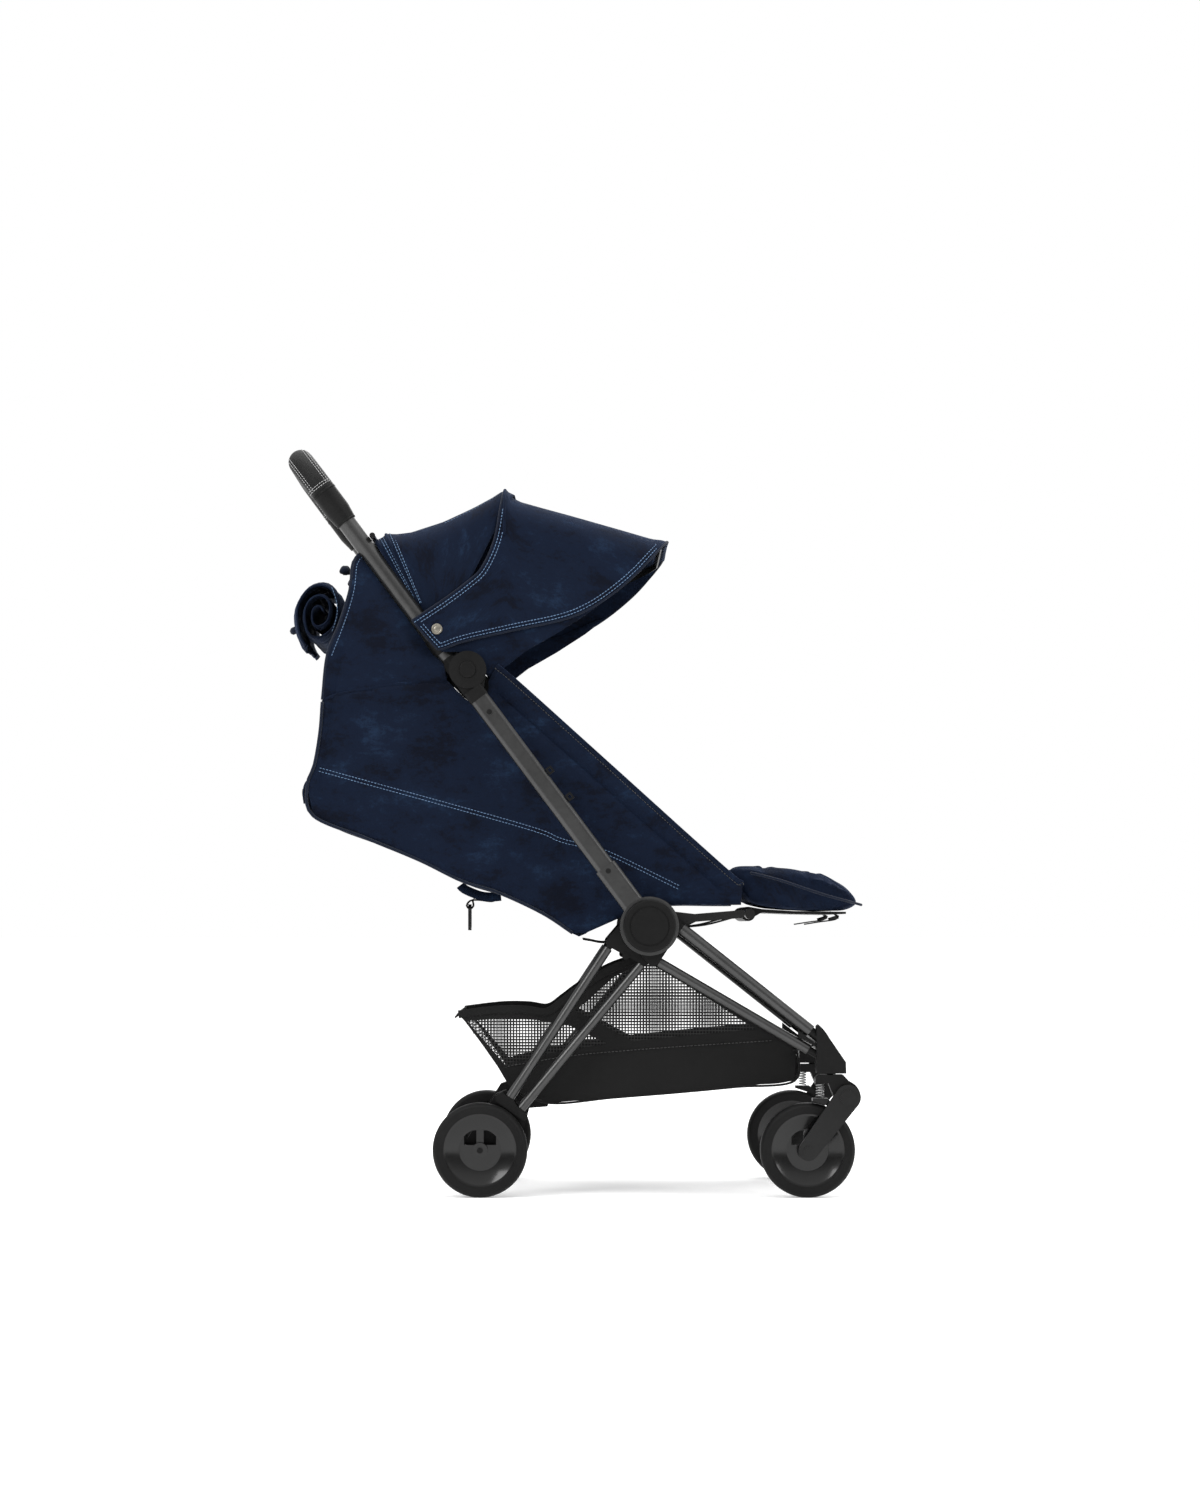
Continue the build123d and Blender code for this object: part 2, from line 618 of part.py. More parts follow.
# ---------------------------------------------------------------- seat base and legrest
rail_tip = (seat_front_x - 7.5, seat_front_z)
with BuildPart() as seat_rail:
    with BuildSketch(right_plane(rail_lane[0])):
        with Locations((hub_x, hub_z)):
            Circle(24.0)
        with Locations((160.0, 383.0)):
            Circle(6.0)
        make_hull()
        with BuildLine():
            Polyline((158.0, 377.5), (rail_tip[0], rail_tip[1] - 5.5), (rail_tip[0], rail_tip[1] + 5.5),
                     (158.0, 388.5), (158.0, 377.5))
        make_face()
        with Locations((hub_x, hub_z)):
            Circle(pin_radius + fit, mode=Mode.SUBTRACT)
    extrude(amount=rail_lane[1] - rail_lane[0])
keep(pair(seat_rail), "seat_rails")

with BuildPart() as seat_cross_tube:
    with BuildSketch(Plane.XZ.offset(-rail_lane[1])):
        with Locations((seat_front_x, seat_front_z)):
            Circle(7.0)
    extrude(amount=2 * rail_lane[1])
keep(seat_cross_tube, "seat_cross_tube")

with BuildPart() as seat_cushion:
    with BuildSketch(Plane.XZ.offset(-cushion_half_width)):
        Polygon((34.0, 405.5), (222.0, 405.5), (224.0, 440.0), (204.0, 457.0), (150.0, 446.0), (60.0, 432.0),
                (36.0, 424.0), align=None)
    extrude(amount=2 * cushion_half_width)
    fillet(edges().filter_by(Plane.XZ), 5.0)
keep(seat_cushion, "seat_cushion")

with BuildPart() as harness_buckle:
    with BuildSketch(Plane.XY.offset(447.5)):
        with Locations((128.0, 0.0)):
            RectangleRounded(46.0, 40.0, 10.0)
    extrude(amount=14.0)
    fillet(edges().group_by(Axis.Z)[-1], 3.0)
keep(harness_buckle, "harness_buckle")

with BuildPart() as legrest_board:
    with BuildSketch(Plane.XZ.offset(-legrest_board_half)):
        Polygon((252.0, 391.0), (300.0, 389.0), (352.0, 388.0), (374.0, 389.0), (374.0, 392.0), (300.0, 393.0),
                (254.0, 396.0), align=None)
    extrude(amount=2 * legrest_board_half)
    with BuildSketch(Plane.XZ.offset(-legrest_board_half)):
        with Locations((seat_front_x, seat_front_z)):
            Circle(10.0)
        Polygon((238.0, 380.0), (256.0, 390.6), (256.0, 396.0), (240.0, 398.8), align=None)
        with Locations((seat_front_x, seat_front_z)):
            Circle(7.0 + fit, mode=Mode.SUBTRACT)
    extrude(amount=2 * legrest_board_half)
keep(legrest_board, "legrest_board")

with BuildPart() as legrest_pad:
    with BuildSketch(Plane.XZ.offset(-legrest_pad_half)):
        with BuildLine():
            Spline((238.0, 455.0), (300.0, 452.5), (345.0, 444.0), (388.0, 421.0), (half_length, 405.0))
            Spline((half_length, 405.0), (398.0, 398.0), (378.0, 393.5))
            Polyline((378.0, 393.5), (300.0, 395.0), (256.0, 399.5), (246.0, 403.0), (236.0, 405.0), (238.0, 455.0))
        make_face()
    extrude(amount=2 * legrest_pad_half)
keep(legrest_pad, "legrest_pad")

# ---------------------------------------------------------------- backrest
board_heading = Vector(cos(radians(recline_angle)), 0, sin(radians(recline_angle)))
board_plane = Plane((recline_x, 0, recline_z), x_dir=board_heading, z_dir=board_heading.cross(Vector(0, 1, 0)) * -1)
with BuildPart() as back_board:
    with BuildSketch(board_plane):
        with Locations((board_length / 2 + 12.0, 0.0)):
            RectangleRounded(board_length - 24.0, 2 * board_half_width, 24.0)
    extrude(amount=board_thick)
    with BuildSketch(board_plane):
        with Locations((20.0, -90.0), (20.0, 90.0)):
            Rectangle(30.0, 24.0)
    extrude(amount=board_thick)
    for side in (1, -1):
        with BuildSketch(Plane.XZ.offset(side * hinge_inner)):
            with Locations((recline_x, recline_z)):
                Circle(hinge_radius)
        extrude(amount=side * (hinge_outer - hinge_inner))
keep(back_board, "back_board")

with BuildPart() as back_cushion:
    with BuildSketch(board_plane.offset(board_thick + gap)):
        with Locations((board_length / 2 + 18.0, 0.0)):
            RectangleRounded(board_length - 12.0, 2 * cushion_half_width, 34.0)
    extrude(amount=cushion_thick)
keep(back_cushion, "back_cushion")

# ---------------------------------------------------------------- back curtain and rolled window cover
tube_edge = handle_radius + 2.5
curtain_top, curtain_foot = along(650.0, -tube_edge), along(470.0, -tube_edge)
with BuildPart() as back_curtain:
    with BuildSketch(Plane.XZ.offset(-canopy_lane[1])):
        Polygon((-342.0, 746.6), (-325.5, 790.0), (-311.0, 836.0), (-308.5, 874.0), curtain_top, curtain_foot,
                align=None)
    extrude(amount=2 * canopy_lane[1])
    with BuildSketch(Plane.XZ.offset(-canopy_lane[0])):
        Polygon((-338.6, 700.0), (-338.6, 746.6), (-322.3, 791.0), (-307.8, 837.0), (-305.3, 872.0), (-300.0, 900.0),
                (-150.0, 900.0), (-150.0, 700.0), align=None)
    extrude(amount=2 * canopy_lane[0], mode=Mode.SUBTRACT)
keep(back_curtain, "back_curtain")

with BuildPart() as roll_cover:
    with BuildSketch(Plane.XZ.offset(-roll_half_length)):
        with Locations((-352.0, 812.0)):
            Ellipse(30.0, 46.0, rotation=-8.0)
    extrude(amount=2 * roll_half_length)
keep(roll_cover, "roll_cover")

# ---------------------------------------------------------------- wheels


def wheel(axle_x, name):
    """A solid tyre on a dished rim with a half-open centre, on both sides."""
    mid_y = wheel_inner_y + wheel_width / 2
    half = wheel_width / 2
    profile_plane = Plane((axle_x, -mid_y, wheel_radius), x_dir=(0, 0, 1), z_dir=(1, 0, 0))
    axis = Axis((axle_x, 0, wheel_radius), (0, 1, 0))
    with BuildPart() as tyre:
        with BuildSketch(profile_plane):
            with BuildLine():
                Line((rim_radius, -half + 1.0), (60.0, -half))
                ThreePointArc((60.0, -half), (wheel_radius - 1.4, -half + 3.6), (wheel_radius, -half + 8.0))
                Line((wheel_radius, -half + 8.0), (wheel_radius, half - 8.0))
                ThreePointArc((wheel_radius, half - 8.0), (wheel_radius - 1.4, half - 3.6), (60.0, half))
                Line((60.0, half), (rim_radius, half - 1.0))
                Line((rim_radius, half - 1.0), (rim_radius, -half + 1.0))
            make_face()
        revolve(axis=axis)
    with BuildPart() as rim:
        with BuildSketch(profile_plane):
            with BuildLine():
                Polyline((rim_radius - 0.1, -half + 2.0), (rim_radius - 0.1, half - 2.0), (47.5, half - 2.6))
                ThreePointArc((47.5, half - 2.6), (38.0, half - 6.6), (opening_radius, half - 9.0))
                Line((opening_radius, half - 9.0), (opening_radius, -half + 9.0))
                ThreePointArc((opening_radius, -half + 9.0), (38.0, -half + 6.6), (47.5, -half + 2.6))
                Line((47.5, -half + 2.6), (rim_radius - 0.1, -half + 2.0))
            make_face()
        revolve(axis=axis)
        with BuildSketch(right_plane(mid_y - 3.0)):
            with Locations((axle_x, wheel_radius)):
                Circle(opening_radius + 1.0)
            with Locations((axle_x, wheel_radius + 17.0)):
                Rectangle(44.0, 20.0, mode=Mode.SUBTRACT)
            with Locations((axle_x, wheel_radius + 14.0)):
                Rectangle(10.0, 34.0)
        extrude(amount=6.0)
        with BuildSketch(right_plane(wheel_inner_y + 2.0)):
            with Locations((axle_x, wheel_radius)):
                Circle(10.5)
        extrude(amount=wheel_width - 4.5)
        with BuildSketch(right_plane(wheel_inner_y - 2.0)):
            with Locations((axle_x, wheel_radius)):
                Circle(axle_radius + fit)
        extrude(amount=wheel_width + 4.0, mode=Mode.SUBTRACT)
    keep(tyre, f"{name}_tyre_right")
    keep(mirrored(tyre), f"{name}_tyre_left")
    keep(rim, f"{name}_rim_right")
    keep(mirrored(rim), f"{name}_rim_left")


wheel(rear_axle_x, "rear")
wheel(front_axle_x, "front")

# ---------------------------------------------------------------- casters
fork_top = 168.5
with BuildPart() as caster_fork:
    with BuildSketch(right_plane(174.0)):
        with BuildLine():
            Polyline((330.0, fork_top), (364.0, fork_top), (372.0, 160.0))
            ThreePointArc((372.0, 160.0), (386.0, 147.0), (388.0, arm_pivot_z))
            ThreePointArc((388.0, arm_pivot_z), (370.0, 120.5), (357.0, 126.0))
            Polyline((357.0, 126.0), (350.0, 142.0), (344.0, 157.0), (326.0, 157.0), (326.0, 164.0), (330.0, fork_top))
        make_face()
    extrude(amount=31.5)
    with BuildSketch(Plane.XY.offset(fork_top - 1.0)):
        with Locations((swivel_x, -swivel_y)):
            Circle(pin_radius)
    extrude(amount=26.0)
    with BuildSketch(right_plane(190.0)):
        with Locations((arm_pivot_x, arm_pivot_z)):
            Circle(pin_radius)
    extrude(amount=arm_lane[1] - 190.0)
keep(caster_fork, "caster_fork_right")
keep(mirrored(caster_fork), "caster_fork_left")

with BuildPart() as swing_arm:
    with BuildSketch(right_plane(arm_lane[0])):
        with Locations((arm_pivot_x, arm_pivot_z)):
            Circle(17.5)
        with Locations((front_axle_x, wheel_radius)):
            Circle(13.7)
        make_hull()
        with Locations((arm_pivot_x, arm_pivot_z)):
            Circle(pin_radius + fit, mode=Mode.SUBTRACT)
    extrude(amount=arm_lane[1] - arm_lane[0])
    with BuildSketch(right_plane(wheel_inner_y + 1.0)):
        with Locations((front_axle_x, wheel_radius)):
            Circle(axle_radius)
    extrude(amount=arm_lane[1] - wheel_inner_y + 1.0)
    with BuildSketch(right_plane(arm_lane[1])):
        with Locations((front_axle_x, wheel_radius)):
            Circle(6.5)
        with Locations((arm_pivot_x, arm_pivot_z)):
            Circle(10.6)
    extrude(amount=1.6)
    with BuildSketch(right_plane(arm_lane[0] - 18.0)):
        Polygon((322.0, 136.5), (343.0, 136.5), (350.0, 128.0), (350.0, 124.0), (322.0, 133.0), align=None)
    extrude(amount=18.0)
keep(swing_arm, "swing_arm_right")
keep(mirrored(swing_arm), "swing_arm_left")

with BuildPart() as arm_spring:
    with BuildSketch(Plane.XY.offset(136.8)):
        with Locations((333.0, -194.0)):
            Circle(6.0)
            Circle(4.2, mode=Mode.SUBTRACT)
    extrude(amount=19.9)
keep(arm_spring, "arm_spring_right")
keep(mirrored(arm_spring), "arm_spring_left")
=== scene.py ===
"""Compact folding baby stroller: fabric, padding, net, leather, stitching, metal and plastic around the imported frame.

Lengths in the tables and helpers are millimetres in the part's own frame, and are turned into metres as meshes are made.
"""
import math

import bmesh
import bpy
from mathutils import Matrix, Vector, geometry, noise


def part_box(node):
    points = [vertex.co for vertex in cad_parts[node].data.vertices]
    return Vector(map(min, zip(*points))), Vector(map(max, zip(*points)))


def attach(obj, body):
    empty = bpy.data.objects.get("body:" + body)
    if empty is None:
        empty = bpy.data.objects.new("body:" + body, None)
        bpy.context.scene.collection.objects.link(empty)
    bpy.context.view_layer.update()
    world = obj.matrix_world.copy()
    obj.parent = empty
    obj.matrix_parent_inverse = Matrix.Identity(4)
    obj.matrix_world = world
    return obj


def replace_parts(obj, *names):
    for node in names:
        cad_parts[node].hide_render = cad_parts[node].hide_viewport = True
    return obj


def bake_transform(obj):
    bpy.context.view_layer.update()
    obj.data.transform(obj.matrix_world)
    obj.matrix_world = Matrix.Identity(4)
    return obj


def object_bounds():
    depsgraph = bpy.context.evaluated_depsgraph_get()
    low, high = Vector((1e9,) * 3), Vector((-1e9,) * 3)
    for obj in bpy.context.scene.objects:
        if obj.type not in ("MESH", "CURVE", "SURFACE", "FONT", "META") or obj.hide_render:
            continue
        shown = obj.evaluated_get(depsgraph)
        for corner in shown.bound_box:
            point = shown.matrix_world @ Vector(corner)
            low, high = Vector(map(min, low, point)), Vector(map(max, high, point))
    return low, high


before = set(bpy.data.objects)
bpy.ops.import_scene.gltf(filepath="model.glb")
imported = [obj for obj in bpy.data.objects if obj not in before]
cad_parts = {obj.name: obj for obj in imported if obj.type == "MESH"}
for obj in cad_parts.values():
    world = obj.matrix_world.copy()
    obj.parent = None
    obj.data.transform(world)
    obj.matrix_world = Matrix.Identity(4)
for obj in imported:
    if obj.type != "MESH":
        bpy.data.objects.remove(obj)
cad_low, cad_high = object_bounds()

MM = 0.001
SIDES = (("right", -1), ("left", 1))


# ---------------------------------------------------------------- places taken from the frame
def centre(node):
    """The middle of a CAD node's box, in millimetres."""
    low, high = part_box(node)
    return (Vector(low) + Vector(high)) * 500.0


HUB = centre("hub_covers")
KNOB = centre("knob_sockets")
PIVOT = centre("canopy_clips")
FRAME_ANGLE = math.atan2(PIVOT.z - HUB.z, PIVOT.x - HUB.x)
HANDLE_Y = 148.0
GRIP_RADIUS = 17.5
SHELL_Y = 169.6
CANOPY_Y = 169.6
CANOPY_CORNER = 46.0


def along(run, side=0.0):
    """A point (x, z) at a distance run up the frame line from the hub, side towards the front."""
    c, s = math.cos(FRAME_ANGLE), math.sin(FRAME_ANGLE)
    return HUB.x + run * c + side * s, HUB.z + run * s - side * c


def frame_offset(x, z):
    """How far in front of the frame line a side-view point is."""
    c, s = math.cos(FRAME_ANGLE), math.sin(FRAME_ANGLE)
    return (x - HUB.x) * s - (z - HUB.z) * c


# ---------------------------------------------------------------- camera, light and floor
def make_stage():
    scene = bpy.context.scene
    scene.view_settings.view_transform = "Standard"
    data = bpy.data.cameras.new("camera")
    data.lens, data.sensor_width = 86.8, 36.0
    data.shift_x, data.shift_y = 0.0153, 0.1167
    data.clip_start, data.clip_end = 0.1, 100.0
    camera = bpy.data.objects.new("camera", data)
    camera.location = (0.0, -5.150, 0.3735)
    camera.rotation_euler = (math.radians(90.0), 0.0, 0.0)
    scene.collection.objects.link(camera)
    scene.camera = camera

    world = bpy.data.worlds.new("studio")
    world.use_nodes = True
    background = world.node_tree.nodes["Background"]
    tree = world.node_tree
    height = node(tree, "ShaderNodeSeparateXYZ",
                  Vector=node(tree, "ShaderNodeTexCoord").outputs["Generated"]).outputs["Z"]
    room = ramp(tree, height, ((0.0, grey(0.30)), (0.10, grey(0.22)), (0.45, grey(0.95)), (1.0, grey(1.35))))
    seen = node(tree, "ShaderNodeMix", {"data_type": "RGBA"})
    tree.links.new(node(tree, "ShaderNodeLightPath").outputs["Is Camera Ray"], seen.inputs["Factor"])
    tree.links.new(room, seen.inputs[6])
    seen.inputs[7].default_value = (1.0, 1.0, 1.0, 1.0)
    tree.links.new(seen.outputs[2], background.inputs["Color"])
    background.inputs["Strength"].default_value = 1.0
    scene.world = world

    softboxes = (
        ("top_softbox", (0.0, -0.2, 2.6), (0.0, 0.0, 0.4), 2.6, 34.0),
        ("key_softbox", (-2.2, -2.6, 2.3), (-0.1, 0.0, 0.6), 1.6, 60.0),
        ("side_softbox", (2.8, -1.6, 1.5), (0.0, 0.0, 0.5), 1.3, 34.0),
        ("rear_softbox", (0.6, 3.0, 2.0), (0.0, 0.0, 0.5), 1.8, 30.0),
    )
    for name, place, target, size, power in softboxes:
        lamp = bpy.data.lights.new(name, "AREA")
        lamp.shape, lamp.size, lamp.energy = "SQUARE", size, power
        obj = bpy.data.objects.new(name, lamp)
        obj.location = place
        obj.rotation_euler = (Vector(target) - Vector(place)).to_track_quat("-Z", "Y").to_euler()
        scene.collection.objects.link(obj)


# ---------------------------------------------------------------- node helpers
def new_look(name):
    look = bpy.data.materials.new(name)
    look.use_nodes = True
    return look, look.node_tree, look.node_tree.nodes["Principled BSDF"]


def node(tree, kind, settings=None, **sockets):
    """A shader node with its settings and its input sockets, named with _ for a space."""
    made = tree.nodes.new(kind)
    for key, value in (settings or {}).items():
        setattr(made, key, value)
    for key, value in sockets.items():
        socket = made.inputs[key.replace("_", " ")]
        if isinstance(value, bpy.types.NodeSocket):
            tree.links.new(value, socket)
        else:
            socket.default_value = value
    return made


def cloth_at(tree, stretch=(1.0, 1.0, 1.0)):
    flat = node(tree, "ShaderNodeUVMap", {"uv_map": "cloth"}).outputs["UV"]
    return node(tree, "ShaderNodeMapping", Vector=flat, Scale=stretch).outputs["Vector"]


def solid_at(tree, stretch=(1.0, 1.0, 1.0)):
    place = node(tree, "ShaderNodeTexCoord").outputs["Object"]
    return node(tree, "ShaderNodeMapping", Vector=place, Scale=stretch).outputs["Vector"]


def grain(tree, at, scale, detail=4.0, rough=0.5):
    return node(tree, "ShaderNodeTexNoise", Vector=at, Scale=scale, Detail=detail,
                Roughness=rough).outputs["Fac"]


def ramp(tree, factor, stops):
    made = node(tree, "ShaderNodeValToRGB", Fac=factor)
    band = made.color_ramp
    while len(band.elements) < len(stops):
        band.elements.new(0.5)
    for element, (place, colour) in zip(band.elements, stops):
        element.position = place
        element.color = (*colour, 1.0)
    return made.outputs["Color"]


def span(tree, value, low, high):
    """A 0 to 1 value spread between low and high."""
    return node(tree, "ShaderNodeMapRange", Value=value, To_Min=low, To_Max=high).outputs["Result"]


def sums(tree, kind, a, b):
    made = tree.nodes.new("ShaderNodeMath")
    made.operation = kind
    for socket, value in zip(made.inputs, (a, b)):
        if isinstance(value, bpy.types.NodeSocket):
            tree.links.new(value, socket)
        else:
            socket.default_value = value
    return made.outputs[0]


def bumped(tree, shader, height, strength, distance):
    made = node(tree, "ShaderNodeBump", Height=height, Strength=strength, Distance=distance)
    tree.links.new(made.outputs["Normal"], shader.inputs["Normal"])


def grey(value):
    return (value, value, value)


# ---------------------------------------------------------------- looks
def denim_look(name, dark, middle, light, sheen=0.10):
    """Washed twill: diagonal ribs, a worn cloudy print with speckled edges, a soft nap."""
    look, tree, shader = new_look(name)
    at = cloth_at(tree)
    wide_at = cloth_at(tree, (1.0, 1.6, 1.0))
    clouds = grain(tree, wide_at, 13.0, 3.0, 0.55)
    speckle = grain(tree, wide_at, 95.0, 9.0, 0.85)
    worn = sums(tree, "ADD", clouds, sums(tree, "MULTIPLY", sums(tree, "SUBTRACT", speckle, 0.5), 0.95))
    colour = ramp(tree, worn, ((0.36, dark), (0.47, middle), (0.58, middle), (0.76, light)))
    ribs = node(tree, "ShaderNodeTexWave", {"bands_direction": "DIAGONAL"}, Vector=at, Scale=330.0,
                Distortion=0.6, Detail=1.0).outputs["Fac"]
    threads = node(tree, "ShaderNodeTexWave", {"bands_direction": "X"}, Vector=at, Scale=300.0,
                   Distortion=0.8).outputs["Fac"]
    thread_tint = ramp(tree, ribs, ((0.0, grey(0.70)), (1.0, grey(1.15))))
    tinted = node(tree, "ShaderNodeMix", {"data_type": "RGBA", "blend_type": "MULTIPLY"})
    tinted.inputs["Factor"].default_value = 1.0
    tree.links.new(colour, tinted.inputs[6])
    tree.links.new(thread_tint, tinted.inputs[7])
    tree.links.new(tinted.outputs[2], shader.inputs["Base Color"])
    tree.links.new(span(tree, speckle, 0.72, 0.98), shader.inputs["Roughness"])
    crumple = grain(tree, at, 28.0, 5.0, 0.6)
    height = sums(tree, "ADD", sums(tree, "MULTIPLY", ribs, 0.35),
                  sums(tree, "ADD", sums(tree, "MULTIPLY", threads, 0.15),
                       sums(tree, "MULTIPLY", crumple, 2.2)))
    bumped(tree, shader, height, 0.55, 0.0011)
    shader.inputs["Sheen Weight"].default_value = sheen
    shader.inputs["Sheen Roughness"].default_value = 0.45
    shader.inputs["Sheen Tint"].default_value = (0.35, 0.5, 0.9, 1.0)
    shader.inputs["Specular IOR Level"].default_value = 0.10
    return look


def weave_look(name, low, high, scale, rough=(0.7, 0.9), sheen=0.1, height=0.0005):
    """Plain woven synthetic cloth: crossed threads and a faint shade change."""
    look, tree, shader = new_look(name)
    at = cloth_at(tree)
    warp = node(tree, "ShaderNodeTexWave", {"bands_direction": "X"}, Vector=at, Scale=scale).outputs["Fac"]
    weft = node(tree, "ShaderNodeTexWave", {"bands_direction": "Y"}, Vector=at, Scale=scale).outputs["Fac"]
    cloud = grain(tree, at, 24.0, 5.0, 0.6)
    woven = sums(tree, "MULTIPLY", warp, weft)
    mixed = sums(tree, "ADD", sums(tree, "MULTIPLY", woven, 0.4), sums(tree, "MULTIPLY", cloud, 0.6))
    tree.links.new(ramp(tree, mixed, ((0.2, low), (0.75, high))), shader.inputs["Base Color"])
    tree.links.new(span(tree, cloud, *rough), shader.inputs["Roughness"])
    bumped(tree, shader, sums(tree, "ADD", woven, sums(tree, "MULTIPLY", cloud, 1.5)), 0.5, height)
    shader.inputs["Sheen Weight"].default_value = sheen
    shader.inputs["Specular IOR Level"].default_value = 0.15
    return look


def metal_look(name, low, high, rough, stretch=(1.0, 1.0, 1.0), metallic=0.85, bump=0.00006):
    """Coated metal: a fine satin grain, faint clouding and a few rubbed places."""
    look, tree, shader = new_look(name)
    at = solid_at(tree, stretch)
    cloud = grain(tree, at, 9.0, 5.0, 0.6)
    fine = grain(tree, at, 900.0, 2.0, 0.5)
    rubbed = grain(tree, at, 140.0, 8.0, 0.75)
    shade = sums(tree, "ADD", sums(tree, "MULTIPLY", cloud, 0.6), sums(tree, "MULTIPLY", rubbed, 0.4))
    tree.links.new(ramp(tree, shade, ((0.3, low), (0.7, high))), shader.inputs["Base Color"])
    tree.links.new(span(tree, rubbed, *rough), shader.inputs["Roughness"])
    bumped(tree, shader, fine, 0.35, bump)
    shader.inputs["Metallic"].default_value = metallic
    return look


def moulded_look(name, low, high, rough, texture=700.0, depth=0.00010, strength=0.4, coat=0.0, shine=0.11):
    """Moulded plastic or rubber: an even spark grain, handling marks and light scuffs."""
    look, tree, shader = new_look(name)
    at = solid_at(tree)
    cloud = grain(tree, at, 16.0, 4.0, 0.6)
    scuff = grain(tree, at, 210.0, 9.0, 0.8)
    fine = grain(tree, at, texture, 2.0, 0.5)
    shade = sums(tree, "ADD", sums(tree, "MULTIPLY", cloud, 0.5), sums(tree, "MULTIPLY", scuff, 0.5))
    tree.links.new(ramp(tree, shade, ((0.32, low), (0.68, high))), shader.inputs["Base Color"])
    tree.links.new(span(tree, scuff, *rough), shader.inputs["Roughness"])
    bumped(tree, shader, fine, strength, depth)
    shader.inputs["Coat Weight"].default_value = coat
    shader.inputs["Coat Roughness"].default_value = 0.12
    shader.inputs["Specular IOR Level"].default_value = shine
    return look


def leather_look(name):
    """Black grained leather: pebbled cells with creases between them, a soft shine on their tops."""
    look, tree, shader = new_look(name)
    at = solid_at(tree)
    wobble = grain(tree, at, 90.0, 3.0, 0.5)
    cells = node(tree, "ShaderNodeTexVoronoi", {"feature": "DISTANCE_TO_EDGE"}, Vector=at, Scale=520.0)
    pebbles = ramp(tree, cells.outputs["Distance"], ((0.0, grey(0.0)), (0.22, grey(1.0))))
    cloud = grain(tree, at, 22.0, 5.0, 0.6)
    tree.links.new(ramp(tree, cloud, ((0.3, grey(0.0015)), (0.75, grey(0.005)))), shader.inputs["Base Color"])
    tree.links.new(span(tree, cloud, 0.34, 0.58), shader.inputs["Roughness"])
    height = sums(tree, "ADD", pebbles, sums(tree, "MULTIPLY", wobble, 0.8))
    bumped(tree, shader, height, 0.6, 0.00035)
    shader.inputs["Specular IOR Level"].default_value = 0.18
    return look


def thread_look(name, low, high):
    """Twisted sewing thread."""
    look, tree, shader = new_look(name)
    at = solid_at(tree)
    ply = node(tree, "ShaderNodeTexWave", {"bands_direction": "DIAGONAL"}, Vector=at,
               Scale=600.0).outputs["Fac"]
    fleck = grain(tree, at, 130.0, 4.0, 0.6)
    tree.links.new(ramp(tree, fleck, ((0.3, low), (0.7, high))), shader.inputs["Base Color"])
    tree.links.new(span(tree, fleck, 0.6, 0.85), shader.inputs["Roughness"])
    bumped(tree, shader, ply, 0.5, 0.0003)
    shader.inputs["Sheen Weight"].default_value = 0.2
    return look


def floor_look():
    look, _, shader = new_look("pale_floor")
    shader.inputs["Base Color"].default_value = (0.90, 0.90, 0.90, 1.0)
    shader.inputs["Roughness"].default_value = 1.0
    shader.inputs["Specular IOR Level"].default_value = 0.0
    shader.inputs["Emission Color"].default_value = (1.0, 1.0, 1.0, 1.0)
    shader.inputs["Emission Strength"].default_value = 0.28
    return look


NAVY_DARK, NAVY, NAVY_LIGHT = (0.0008, 0.0020, 0.0070), (0.0022, 0.0058, 0.0170), (0.0070, 0.0170, 0.0400)
LOOKS = {
    "denim": denim_look("washed_denim", NAVY_DARK, NAVY, NAVY_LIGHT),
    "binding": weave_look("navy_binding", (0.0014, 0.0036, 0.0110), (0.0036, 0.0088, 0.0240), 420.0, sheen=0.1),
    "webbing": weave_look("black_webbing", grey(0.0035), grey(0.010), 360.0, sheen=0.04, height=0.0008),
    "panel": weave_look("basket_panel", grey(0.0045), grey(0.0095), 520.0, sheen=0.03),
    "net": weave_look("black_net", grey(0.010), grey(0.024), 900.0, rough=(0.5, 0.7)),
    "graphite": metal_look("graphite_metal", grey(0.045), grey(0.072), (0.24, 0.36)),
    "black_metal": metal_look("black_metal", grey(0.014), grey(0.024), (0.24, 0.38)),
    "steel": metal_look("brushed_steel", grey(0.30), grey(0.42), (0.22, 0.40), stretch=(1.0, 1.0, 6.0)),
    "antique": metal_look("antique_metal", (0.12, 0.11, 0.09), (0.27, 0.25, 0.21), (0.26, 0.46), bump=0.0001),
    "plastic": moulded_look("black_plastic", grey(0.0035), grey(0.0075), (0.34, 0.54)),
    "gloss": moulded_look("gloss_plastic", grey(0.0025), grey(0.0050), (0.14, 0.26), texture=400.0,
                          depth=0.00003,
                          coat=0.25, shine=0.25),
    "tyre": moulded_look("tyre_rubber", grey(0.0040), grey(0.0090), (0.42, 0.66), texture=500.0, depth=0.00022,
                         strength=0.6),
    "leather": leather_look("black_leather"),
    "blue_thread": thread_look("blue_thread", (0.050, 0.105, 0.200), (0.095, 0.185, 0.320)),
    "grey_thread": thread_look("grey_thread", grey(0.30), grey(0.46)),
    "black_thread": thread_look("black_thread", grey(0.010), grey(0.024)),
}


